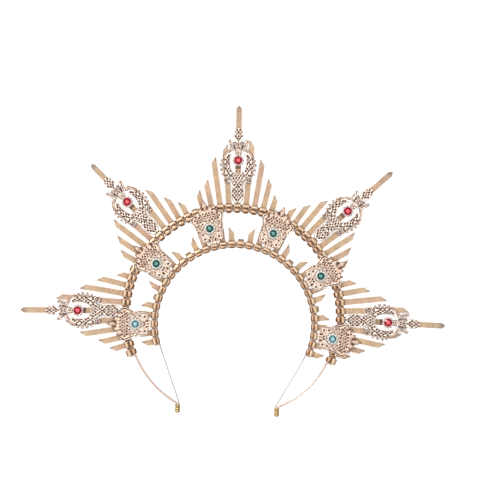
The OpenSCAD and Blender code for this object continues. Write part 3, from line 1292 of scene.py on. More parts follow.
@dataclass
class CableTie:
    """One cable tie: moulded head, loop round the wire, and the tail as a ray.

    Attributes:
        head_t: thickness of the head away from the wire.
        head_h: depth of the head from back to front.
        strap_w: width of the strap.
        strap_t: thickness of the strap.
        tail_w: width of the strap's tail, paint included.
        cut_len: length of a slanted cut.
        pencil_len: length of a pencil cut.
        rail_w: width of the rails along the strap's edges.
        channel: depth of the channel between the rails.
        pitch: distance between teeth.
        head_over: radius of the heads' rounded upper edges.
        seat: the head's dark seat, a painted shadow that fills the gap to the next head.
        mould: the head's main block.
        shoulder: the lower block that the tail leaves by.
        loop_w: width of the loop.
        loop_t: thickness of the loop.
        loop_front: where the loop meets the head's block, from the head's middle.
        loop_back: how far the loop reaches beyond the wire.
        loop_crown: how much thicker the loop is along its middle.
        clear: gap between the wire and the loop.
        sink: how far the loop goes into the head.
    """

    head_t: float = 3.9
    head_h: float = 6.4
    strap_w: float = 4.7
    strap_t: float = 1.0
    tail_w: float = 5.05
    cut_len: float = 5.2
    pencil_len: float = 2.8
    rail_w: float = 0.8
    channel: float = 0.3
    pitch: float = 1.15
    head_over: float = 0.75
    # The seat is painted shadow: a low dark block that fills the gaps between the heads.
    seat: Block = Block(7.5, -2.75, 1.7, 3.6, flank=0.3, top=0.36, gloss=0.8)
    mould: Block = Block(6.3, -0.6, 1.45, 6.4, flank=0.2, top=0.8)
    shoulder: Block = Block(5.4, 0.6, 2.0, 5.8, flank=0.15, top=0.55)
    loop_w: float = 4.9
    loop_t: float = 0.55
    loop_front: float = -0.85
    loop_back: float = 1.3
    loop_crown: float = 0.25
    clear: float = 0.15
    sink: float = 0.3

    def ring_mid(self, wire_d: float) -> float:
        """Returns the radius of the loop's middle."""
        return wire_d / 2.0 + self.clear + self.strap_t / 2.0

    def head_off(self, wire_d: float) -> float:
        """Returns the distance from the wire to the middle of the head."""
        return self.head_t / 2.0 + self.ring_mid(wire_d) + self.strap_t / 2.0 - self.sink

    def block(self, block: Block) -> Draft:
        """Draws one block of the head with its upper edges rounded over.

        Args:
            block: its sizes and looks.

        Returns:
            The drawing of the block.
        """
        rings, marks = [], []
        over = self.head_over
        turns = np.linspace(0.0, math.pi / 2, 5)
        levels = [(0.3, 0.0)]
        levels += [(block.high - over * (1 - math.sin(t)), over * (1 - math.cos(t))) for t in turns]
        levels.append((block.high + 0.03, over * 1.25))
        for z, inset in levels:
            half_y = (block.front - block.back) / 2 - inset
            shape = rounded_ring(block.width / 2 - inset, half_y, max(0.9 - inset, 0.12))
            shape[:, 1] += (block.front + block.back) / 2
            rings.append(np.column_stack([shape, np.full(len(shape), z)]))
            # Painted light: the flanks are painted darker and the upper face lighter.
            rise = float(smoothstep(block.high - over, block.high - over * 0.1, np.array(z)))
            marks.extend([block.flank + (block.top - block.flank) * rise] * len(shape))
        return loft(np.array(rings), relief=np.array(marks), gloss=block.gloss)

    def head(self) -> Draft:
        """Draws the head: its dark seat, which is painted shadow between the heads, its block and the lower
        shoulder that the tail leaves by.
        """
        return Draft.joined([self.block(part) for part in (self.seat, self.mould, self.shoulder)])

    def collar(self) -> Draft:
        """Draws the raised mouth that the strap leaves the head by."""
        mouth = rounded_ring(self.strap_w / 2 + 0.4, self.strap_t / 2 + 0.45, 0.4, 4)
        face = self.head_t / 2
        rings = []
        for y, grow in ((face - 0.5, 0.0), (face + 0.3, 0.0), (face + 0.45, -0.18)):
            shape = mouth + np.sign(mouth) * grow
            up = shape[:, 1] + self.head_h / 2
            rings.append(np.column_stack([shape[:, 0], np.full(len(shape), y), up]))
        # Painted shade: the mouth is painted darker than the head's top.
        return loft(np.array(rings), relief=0.3, gloss=0.6)

    def loop(self, wire_d: float) -> Draft:
        """Draws the loop of strap round the wire, thicker along its middle, with painted light on it.

        Args:
            wire_d: diameter of the wire.

        Returns:
            The drawing of the loop.
        """
        half = self.loop_w / 2
        band = rounded_ring(half, self.loop_t / 2, 0.2)
        share = np.abs(band[:, 0]) / half
        outer = band[:, 1] > 0
        wire = -self.head_off(wire_d)
        back = wire - wire_d / 2 - self.loop_back
        front = self.loop_front
        rise = wire_d / 2 + self.loop_t + self.clear
        rings, relief = [], []
        for a in np.linspace(0.0, 2 * math.pi, 28, endpoint=False):
            c, s = math.cos(a), math.sin(a)
            offset = band[:, 1] - self.loop_t / 2 + self.loop_crown * (1.0 - share**2.5) * outer * max(s, 0.0)
            narrow = 1.0 - 0.2 * max(-c, 0.0) ** 2
            rings.append(np.column_stack([
                band[:, 0] * narrow,
                (back + front) / 2 + ((front - back) / 2 + offset) * c,
                self.head_h / 2 + (rise + offset) * s,
            ]))
            # Painted light: a highlight along the loop's upper middle, painted shade at its far edge, where it
            # tucks under the head, on its lower half and at its sides.
            near, far = smoothstep(-0.52, -0.14, np.array(c)), smoothstep(0.66, 0.88, np.array(c))
            across = float(near * (1.0 - 0.9 * far))
            relief.extend(across * (1.0 if s > 0 else 0.6) * (1.0 - 0.8 * smoothstep(0.72, 1.0, share)))
        return loft(np.array(rings), wrap=True, relief=np.array(relief), gloss=1.0)

    def body(self, wire_d: float) -> Draft:
        """Draws the parts that all ties on a wire share."""
        return Draft.joined([self.head(), self.collar(), self.loop(wire_d)])

    def tail_end(self, x: np.ndarray, length: float, cut: Cut) -> np.ndarray:
        """Returns how far the tail reaches at each place across it.

        Args:
            x: the places, from its middle line.
            length: how far its longest place reaches.
            cut: how its end is cut.

        Returns:
            The reach at each place.
        """
        half = self.tail_w / 2
        if cut is Cut.FLUSH:
            return np.full(len(x), length)
        if cut is Cut.PENCIL:
            return length - self.pencil_len * np.abs(x) / half
        away = 0.5 - 0.5 * cut.value * x / half
        return length - self.cut_len * np.clip(away * 1.15 - 0.15, 0.0, 1.0)

    def tail(self, length: float, cut: Cut, covered: Sequence[Triple]) -> Draft:
        """Draws the ray: rails along both edges, a channel between them and a cut end.

        Args:
            length: how far it reaches from the middle of the head.
            cut: how its end is cut.
            covered: start and end of each stretch under a casting that gets painted shadow, and how dark it is.

        Returns:
            The drawing of the ray.
        """
        w, t = self.tail_w / 2, self.strap_t / 2
        floor = t - self.channel
        rail = w - self.rail_w
        right = [(w - 0.12, -t), (w, -t + 0.12), (w, t - 0.14), (w - 0.14, t)]
        right += [(rail + 0.08, t), (rail, t - 0.1)]
        right += [(rail - 0.05, floor), (rail * 0.5, floor), (0.001, floor)]
        section = np.array(right + [(-x, z) for x, z in reversed(right)])
        # Painted light across the ray: painted shade on its sides and in its channel, its rails lighter.
        marks = np.array([0.15, 0.15, 0.32, 0.66, 0.72, 0.56, 0.46, 0.54, 0.56])
        shade = np.concatenate([marks, marks[::-1]])
        end = self.tail_end(section[:, 0], length, cut)
        last = length - 0.4 - (0.0 if cut is Cut.FLUSH else self.cut_len)
        edge = 0.7
        stops = {0.0, 2.3, 3.2, last}
        for start, stop, _ in covered:
            stops |= {start, start + edge, stop - edge, stop}
        stops = [y for y in sorted(stops) if y <= last]
        rings = [np.column_stack([section[:, 0], np.full(len(section), y), section[:, 1]]) for y in stops]
        rings.append(np.column_stack([section[:, 0], end - 0.35, section[:, 1]]))
        rings.append(np.column_stack([section[:, 0], end - 0.1, section[:, 1]]))
        rings.append(np.column_stack([section[:, 0] * 0.97, end, section[:, 1] * 0.75]))
        rings = np.array(rings)
        along = rings[:, :, 1]
        # Painted shade where the ray leaves the head.
        relief = np.tile(shade, (len(rings), 1)) * smoothstep(1.6, 3.6, along)
        # Painted shadow on the stretches under a casting.
        for start, stop, dark in covered:
            before = 1.0 - smoothstep(stop - edge, stop, along)
            relief *= 1.0 - dark * smoothstep(start, start + edge, along) * before
        # Darker towards the cut end, a pencil cut over a longer stretch, and the last rings darker still.
        relief *= 1.0 - 0.3 * smoothstep(length - 2.6, length - 0.6, along)
        if cut is Cut.PENCIL:
            relief *= 1.0 - 0.25 * smoothstep(length - 26.0, length - 5.0, along)
        relief[-2:] *= 0.6
        wear = smoothstep(0.6, 1.05, along / length)
        rings[:, :, 2] += self.head_h / 2
        return loft(rings, relief=relief.ravel(), wear=wear.ravel(), gloss=0.0)

    def tooth(self) -> Draft:
        """Draws one ratchet tooth across the channel."""
        w = self.tail_w / 2 - self.rail_w
        rise = self.channel - 0.06
        corners = ((0.0, -0.1), (0.95, -0.1), (0.8, rise), (0.62, rise))
        points = [(s * w, y, z) for s in (-1, 1) for y, z in corners]
        faces = [(0, 1, 2, 3), (7, 6, 5, 4), (0, 4, 5, 1), (1, 5, 6, 2), (2, 6, 7, 3), (3, 7, 4, 0)]
        # Painted light: each tooth's top is painted lighter than its foot.
        relief = [0.2, 0.2, 0.85, 0.85] * 2
        return Draft.shell(np.array(points), faces, relief=np.array(relief))

    def tooth_spots(
        self, place: Placement, length: float, cut: Cut, covered: Sequence[Triple], tint: float
    ) -> list[Spot]:
        """Returns where the teeth of one ray go, which is nowhere under a casting.

        Args:
            place: placement of the ray.
            length: how far it reaches from the middle of the head.
            cut: how its end is cut.
            covered: start, end and darkness of each stretch of painted shadow under a casting.
            tint: the ray's share of the colour's variation.

        Returns:
            The spots.
        """
        if cut is Cut.FLUSH:
            return []
        last = length - self.cut_len - self.pitch
        height = self.head_h / 2 + self.strap_t / 2 - self.channel
        rows = np.arange(self.head_t / 2 + 0.6, last, self.pitch)
        rows = rows[[not any(low < y + 0.5 < high for low, high, _ in covered) for y in rows]]
        local = np.column_stack([np.zeros(len(rows)), rows, np.full(len(rows), height)])
        return [Spot(tuple(p), (0.0, 0.0, -place.angle), tint=tint) for p in place.apply(local)]


@dataclass(frozen=True)
class Arch:
    """The round part of one wire.

    Attributes:
        centre: its middle.
        r: its radius.
        wire_d: diameter of the wire.
    """

    centre: Flat
    r: float
    wire_d: float


@dataclass
class TieRow:
    """Cable ties side by side along one wire.

    Attributes:
        shop: what it builds with.
        arch: the wire's arch.
        step: angle from one tie to the next.
        turn: angle of the tie with index 0.
        groups: the indices of the ties in each node.
        tie: the tie's own sizes.
    """

    shop: Workshop
    arch: Arch
    step: float
    turn: float
    groups: dict[str, list[int]]
    tie: CableTie = field(default_factory=CableTie)

    def head_place(self, k: int) -> Placement:
        """Returns where the head of a tie is.

        Args:
            k: index of the tie.

        Returns:
            The placement of its head.
        """
        angle = self.turn + self.step * k
        r = self.arch.r + self.tie.head_off(self.arch.wire_d)
        x, y = np.array(self.arch.centre) + r * heading(angle)
        return Placement(float(x), float(y), 0.0, angle)

    def ray(self, k: int) -> tuple[float, Cut, float]:
        """Describes a tie's tail; each row has its own way.

        Args:
            k: index of the tie.

        Returns:
            Its length from the middle of the head, its cut and its lean in degrees.
        """
        raise NotImplementedError

    def covered(self, k: int) -> list[Triple]:
        """Finds where a tie's tail gets painted shadow under a casting.

        Args:
            k: index of the tie.

        Returns:
            Start, end and darkness of each stretch.
        """
        return []

    def build(self) -> None:
        """Builds one piece for each node."""
        body = self.tie.body(self.arch.wire_d)
        tooth = self.tie.tooth()
        for node, indices in self.groups.items():
            heads, teeth, parts = [], [], []
            for k in indices:
                head = self.head_place(k)
                length, cut, lean = self.ray(k)
                way = Placement(head.x, head.y, 0.0, head.angle + lean)
                heads.append(Spot((head.x, head.y, 0.0), (0.0, 0.0, -head.angle), tint=tint_of(k)))
                covered = self.covered(k)
                parts.append(self.tie.tail(length, cut, covered).placed(way, tint=tint_of(k)))
                teeth.extend(self.tie.tooth_spots(way, length, cut, covered, tint_of(k)))
            parts.append(self.shop.scatter.copies(body, heads))
            parts.append(self.shop.scatter.copies(tooth, teeth))
            self.shop.piece(f"{node}_painted", Draft.joined(parts), TIE_PAINT, node)


@dataclass
class OuterTies(TieRow):
    """Ties of the outer wire, in five fans of nine rays.

    Attributes:
        lean: angle that each fan's rays lean by, from low left to low right.
        lengths: each fan's ray lengths from the middle of their heads.
        stub: length of a tail that is cut flush.
        stone_out: distance of a spire's stone from the middle of its tie's head.
    """

    lean: tuple[float, ...] = (-2.0, -1.2, -1.3, 1.6, 1.4)
    lengths: tuple[tuple[float, ...], ...] = (
        (16, 24, 39, 50.5, 90, 59.5, 40.5, 27.5, 12),
        (18, 27, 38, 50, 85.5, 51, 38, 24, 14.5),
        (18, 25.5, 44, 54, 88, 58, 43, 28, 16),
        (13.5, 22.5, 34.5, 48, 92, 47, 33, 23.5, 16),
        (16, 26, 39.5, 58, 90, 52.5, 39.5, 24, 13.5),
    )
    stub: float = 3.4
    stone_out: float = 39.8

    def fan_offset(self, k: int) -> tuple[int, int]:
        """Returns the fan that a tie is in, counted from low left, and its place from the fan's middle."""
        fan = max(0, min(len(self.lengths) - 1, math.floor(k / FAN + 0.5) + MIDDLE_FAN))
        return fan, k - FAN * (fan - MIDDLE_FAN)

    def covered(self, k: int) -> list[Triple]:
        """Returns what TieRow.covered says: the stretches under a spire."""
        # Painted shadow under the spire's lace and setting, from the stone: start, end and darkness, for the
        # middle tie and its neighbours.
        spans = {
            0: ((-37.0, -11.6, 0.95), (-10.6, -7.8, 0.3), (-7.8, -3.0, 0.9), (5.0, 27.4, 0.9)),
            1: ((-18.6, 5.6, 0.6),),
        }
        out = self.stone_out
        found = spans.get(abs(self.fan_offset(k)[1]), ())
        return [(out + low, out + high, dark) for low, high, dark in found]

    def ray(self, k: int) -> tuple[float, Cut, float]:
        """Returns what TieRow.ray says."""
        fan, offset = self.fan_offset(k)
        half = len(self.lengths[fan]) // 2
        if abs(offset) > half:
            return self.stub, Cut.FLUSH, 0.0
        cut = Cut.PENCIL if offset == 0 else (Cut.LONG_RIGHT if offset < 0 else Cut.LONG_LEFT)
        return float(self.lengths[fan][half + offset]), cut, self.lean[fan]


@dataclass
class InnerTies(TieRow):
    """Ties of the inner wire: short rays, stubs, and long ones behind the plaques.

    Attributes:
        reach_centre: middle of the outer arch.
        reach_r: radius round it that the long rays keep inside.
        reach_gap: how far they stop before that radius.
        ray_top: length of the short rays at the top.
        ray_drop: how much shorter each further one is.
        stub: length of an uncut stub.
        every: ties from one plaque to the next.
    """

    reach_centre: Flat = (0.0, 0.0)
    reach_r: float = 88.25
    reach_gap: float = 1.2
    ray_top: float = 14.3
    ray_drop: float = 0.15
    stub: float = 4.0
    every: int = 6

    def ray(self, k: int) -> tuple[float, Cut, float]:
        """Returns what TieRow.ray says."""
        half = self.every // 2
        offset = (abs(k) + half) % self.every
        if offset == half:
            return self.stub, Cut.FLUSH, 0.0
        cut = Cut((1 if offset > half else -1) * (1 if k > 0 else -1))
        if min(offset, self.every - offset) >= 2:
            return self.ray_top - self.ray_drop * abs(k), cut, 0.0
        head = self.head_place(k)
        way = heading(head.angle)
        p = np.array([head.x, head.y]) - np.array(self.reach_centre)
        along = float(p @ way)
        reach = -along + math.sqrt(along**2 - float(p @ p) + self.reach_r**2)
        return reach - self.reach_gap, cut, 0.0


@dataclass
class ArchWires:
    """The two wires and the sleeves that hold their ends.

    Attributes:
        shop: what it builds with.
        outer: the outer arch.
        inner: the inner arch.
        feet: lower end of the left and the right sleeve.
        sleeve_d: diameter of a sleeve.
        sleeve_len: length of a sleeve.
        outer_bend: place of the outer wire's bend, outward from the sleeve's middle and up from its mouth.
        inner_bend: place of the inner wire's bend.
        bend_len: how far a bend is rounded on each side.
        leg_start: heading at which the outer wire leaves its arch.
        ties_low: how far below the outer arch's middle the ties go.
        sunk: how far the wires go into a sleeve.
        height: height of the wires' middle.
    """

    shop: Workshop
    outer: Arch
    inner: Arch
    feet: tuple[Flat, Flat]
    sleeve_d: float = 4.5
    sleeve_len: float = 7.6
    outer_bend: Flat = (0.65, 0.8)
    inner_bend: Flat = (-1.05, 1.6)
    bend_len: float = 1.3
    leg_start: float = 113.75
    ties_low: float = 36.5
    sunk: float = 4.0
    height: float = 3.2

    def bend(self, foot: Flat, side: int, bend: Flat) -> np.ndarray:
        """Returns a bend's place above a foot."""
        return np.array([foot[0] + side * bend[0], foot[1] + self.sleeve_len + bend[1]])

    def into_sleeve(self, foot: Flat, side: int, bend: Flat, leg: np.ndarray) -> np.ndarray:
        """Adds the round bend and the sunk end to a leg that comes down to its bend.

        Args:
            foot: lower end of the sleeve.
            side: -1 on the left, 1 on the right.
            bend: place of the bend.
            leg: the leg's points.

        Returns:
            The points of the leg with its bend and its end.
        """
        corner = self.bend(foot, side, bend)
        end = np.array([corner[0], foot[1] + self.sleeve_len - self.sunk])
        before = corner + (leg[-2] - corner) / np.linalg.norm(leg[-2] - corner) * self.bend_len
        after = corner + np.array([0.0, -self.bend_len])
        t = np.linspace(0.0, 1.0, 7)[:, None]
        turn = before * (1 - t) ** 2 + 2 * corner * t * (1 - t) + after * t**2
        return np.vstack([leg[:-1], turn, end])

    def arc(self, centre: Flat | np.ndarray, r: float, start: float, stop: float) -> np.ndarray:
        """Returns the points of an arc between two headings."""
        count = math.ceil(abs(stop - start) / 1.2) + 1
        return np.array([np.array(centre) + r * heading(a) for a in np.linspace(start, stop, count)])

    def outer_leg(self, foot: Flat, side: int) -> np.ndarray:
        """Returns the outer wire's leg, an arc that leaves the arch at a tangent.

        Args:
            foot: lower end of its sleeve.
            side: -1 on the left, 1 on the right.

        Returns:
            The leg's points from the arch down.
        """
        middle, arch_r = np.array(self.outer.centre), self.outer.r
        way = heading(side * self.leg_start)
        to = self.bend(foot, side, self.outer_bend) - middle
        v = to - arch_r * way
        r = float(v @ v) / (2.0 * (arch_r - float(to @ way)))
        centre = middle + (arch_r - r) * way
        last = to + middle - centre
        leg = self.arc(centre, r, side * self.leg_start, math.degrees(math.atan2(last[0], last[1])))
        return self.into_sleeve(foot, side, self.outer_bend, leg)

    def inner_start(self, foot: Flat, side: int) -> float:
        """Returns the heading at which the inner wire leaves its arch.

        Args:
            foot: lower end of its sleeve.
            side: -1 on the left, 1 on the right.

        Returns:
            The heading in degrees.
        """
        v = self.bend(foot, side, self.inner_bend) - np.array(self.inner.centre)
        lead = math.degrees(math.acos(self.inner.r / np.linalg.norm(v)))
        return math.degrees(math.atan2(v[0], v[1])) - side * lead

    def inner_leg(self, foot: Flat, side: int) -> np.ndarray:
        """Returns the inner wire's straight leg.

        Args:
            foot: lower end of its sleeve.
            side: -1 on the left, 1 on the right.

        Returns:
            The leg's points from the arch down.
        """
        start = np.array(self.inner.centre) + self.inner.r * heading(self.inner_start(foot, side))
        end = self.bend(foot, side, self.inner_bend)
        leg = start + np.linspace(0.0, 1.0, 24)[1:, None] * (end - start)
        return self.into_sleeve(foot, side, self.inner_bend, leg)

    def wire(self, name: str, line: np.ndarray, diameter: float, finish: Finish) -> None:
        """Builds one wire as a round tube along its line, with painted shade on its flanks and painted shadow
        where the ties' loops lie on it.

        Args:
            name: the wire's node.
            line: the points of its middle line.
            diameter: its diameter.
            finish: its finish.
        """
        a = np.arange(20) * 2.0 * math.pi / 20
        circle = np.column_stack([np.cos(a), np.sin(a)]) * diameter / 2.0
        tube = self.shop.sweep.strands([Strand(line)], circle, self.height + diameter / 2.0, self.height)
        x, y, z = tube.points.T
        off = np.hypot(x - self.outer.centre[0], y - self.outer.centre[1])
        looped = (y > self.outer.centre[1] - self.ties_low) & (off > self.inner.r)
        # Painted shade: darker down the flanks, and darker still where the loops cover the wire.
        relief = smoothstep(0.35, 1.0, (z - self.height) * 2.0 / diameter)
        tube.values["relief"] = relief * np.where(looped, 0.25, 1.0)
        self.shop.piece(f"{name}_drawn", tube, finish, name)

    def sleeve(self, node: str, foot: Flat) -> None:
        """Builds one sleeve: round lower end, two crimped grooves and a rolled mouth.

        Args:
            node: the sleeve's node.
            foot: its lower end.
        """
        r = self.sleeve_d / 2.0
        bore = r - 0.5
        top = self.sleeve_len
        outline = [(0.02, 0.0), (r * 0.45, 0.06), (r * 0.78, 0.38), (r * 0.95, 0.85), (r, 1.4)]
        for middle in (2.5, 4.7):
            outline += [(r, middle - 0.45), (r - 0.22, middle - 0.12)]
            outline += [(r - 0.22, middle + 0.12), (r, middle + 0.45)]
        outline += [(r, top - 0.9), (r, top - 0.5), (r - 0.06, top - 0.14), (r - 0.25, top)]
        outline += [(bore + 0.05, top - 0.1), (bore, top - 0.4), (bore, 3.0), (0.02, 3.0)]
        # Painted shade: the lower end, the grooves, the bore and the glue in it are painted darker than the
        # sleeve's sides.
        marks = np.array([0.25 if radius < r - 0.2 else 0.9 for radius, _ in outline])
        glue = [(0.02, 2.9), (bore - 0.02, 2.9), (bore - 0.02, top - 0.9), (bore * 0.6, top - 0.3)]
        glue.append((0.02, top - 0.1))
        parts = [lathe(outline, 40, relief=marks), lathe(glue, 24, relief=0.1)]
        for part in parts:
            x, y, z = part.points.T
            part.points = np.column_stack([x + foot[0], z + foot[1], self.height - y])
            # Painted shade down the sides of the lying sleeve; only its upper side is lit.
            part.values["relief"] = part.values["relief"] * smoothstep(0.45, 0.98, -y / r)
        self.shop.piece(f"{node}_sleeve", Draft.joined(parts), BRASS, node)

    def build(self) -> None:
        """Builds both wires and both sleeves."""
        left, right = self.feet
        arch = self.arc(self.outer.centre, self.outer.r, -self.leg_start, self.leg_start)
        line = np.vstack([self.outer_leg(left, -1)[:0:-1], arch, self.outer_leg(right, 1)[1:]])
        self.wire("outer_wire", line, self.outer.wire_d, OUTER_WIRE)
        ends = (self.inner_start(left, -1), self.inner_start(right, 1))
        arch = self.arc(self.inner.centre, self.inner.r, *ends)
        line = np.vstack([self.inner_leg(left, -1)[::-1], arch, self.inner_leg(right, 1)])
        self.wire("inner_wire", line, self.inner.wire_d, INNER_WIRE)
        self.sleeve("ferrule_left", left)
        self.sleeve("ferrule_right", right)


@dataclass
class Filigree:
    """A cast lace in its own frame: the stone is the origin and Y runs along the ray.

    Attributes:
        shop: what it builds with.
        strand_w: width of the usual strand.
        depth: thickness of the casting.
        pit_shading: shading of the dark buttons, painted shadow for the casting's holes.
    """

    shop: Workshop
    strand_w: float = 1.1
    depth: float = 1.8
    pit_shading: float = 0.47

    def section(self) -> np.ndarray:
        """Returns the strand's section: flat back, steep flanks and a rounded crest."""
        w, t = self.strand_w / 2, self.depth / 2
        right = [(w, -t), (w * 1.06, -t * 0.3), (w, t * 0.3)]
        right += [(w * 0.88, t * 0.68), (w * 0.64, t * 0.92), (w * 0.24, t)]
        return np.array(right + [(-x, z) for x, z in reversed(right)])

    def one_side(self) -> list[Strand]:
        """Returns the strands that are mirrored."""
        raise NotImplementedError

    def middle(self) -> list[Strand]:
        """Returns the strands on the middle line."""
        raise NotImplementedError

    def webs(self) -> list[Draft]:
        """Returns the thin cast webs behind the strands."""
        raise NotImplementedError

    def beads(self) -> list[Spot]:
        """Returns the beads of one side; those on the middle line stand once."""
        raise NotImplementedError

    def draw(self) -> Draft:
        """Draws the whole lace."""
        half = self.one_side()
        strands = half + [s.mirrored() for s in half] + self.middle()
        lace = self.shop.sweep.strands(strands, self.section(), self.depth, self.depth / 2)
        spots = []
        for spot in self.beads():
            spots.append(spot)
            x, y, z = spot.at
            if x > 0.01:
                spots.append(replace(spot, at=(-x, y, z)))
        beads = self.shop.scatter.copies(dome(), spots)
        return Draft.joined([lace, beads] + self.webs())

    def bead(self, x: float, y: float, r: float, height: float = 0.0) -> Spot:
        """Returns the spot of one round bead on the lace."""
        rise = height or self.depth + 0.1
        return Spot((x, y, 0.2), size=(r, r, rise - 0.2))

    def pits(self, spots: Sequence[Spot]) -> Draft:
        """Draws low dark buttons, painted shadow that stands for the shade in the casting's holes.

        Args:
            spots: where they go.

        Returns:
            The drawing of them all.
        """
        pits = self.shop.scatter.copies(dome(8, 2), spots)
        # Painted shadow: every button gets one low shading.
        pits.values["relief"] = np.full(len(pits.points), self.pit_shading)
        return pits

    def petal(self, base: Flat, tip: Flat, width: float, bend: float = 0.0, **looks: float) -> list[Draft]:
        """Draws a domed leaf with a dark rim and a groove along its middle, and its twin.

        Args:
            base: where its stalk is, on the right side.
            tip: its point.
            width: its greatest width.
            bend: how far its middle line bows to the left.
            looks: the numbers that blade takes.

        Returns:
            Both drawings.
        """
        return self.blade(*leaf(base, tip, width, bend), **looks)

    def blade(self, left: Sequence, right: Sequence, high: float = 1.72, vein: float = 0.35) -> list[Draft]:
        """Draws a domed blade between two given lines, and its twin.

        Args:
            left: one side's points, on the right side of the lace.
            right: the other side's points.
            high: height of its face.
            vein: share of the height that the middle groove takes.

        Returns:
            Both drawings.
        """
        edges = [smooth(line) for line in (left, right)]
        count = max(8, *(len(line) for line in edges))
        edges = [resampled(line, count) for line in edges]
        wide = float(np.max(np.linalg.norm(edges[0] - edges[1], axis=1)))
        columns = 2 * max(4, round(wide / 0.7))
        shape = Edge(self.depth, 0.65, 0.12, vein, pinch=0.7)
        blades = []
        for side in (1.0, -1.0):
            turned = [edge * np.array([side, 1.0]) for edge in edges]
            blades.append(web(*turned, lambda u, v: np.full(u.shape, high), columns, shape))
        return blades

    def plate(
        self, half: Sequence[Flat], pits: Sequence[Pit], high: float, low: float, rows: int, columns: int
    ) -> Draft:
        """Draws a pitted plate that is mirrored about the middle line.

        Args:
            half: the given points of its right edge.
            pits: the pits.
            high: height of its face.
            low: height of the pits' floors.
            rows: points along each edge.
            columns: strips across it.

        Returns:
            The drawing of the plate.
        """
        edge = resampled(smooth(half), rows)
        face = pitted(pits, high, low)
        return web(edge * np.array([-1.0, 1.0]), edge, face, columns, Edge(self.depth, 0.5, 0.2))


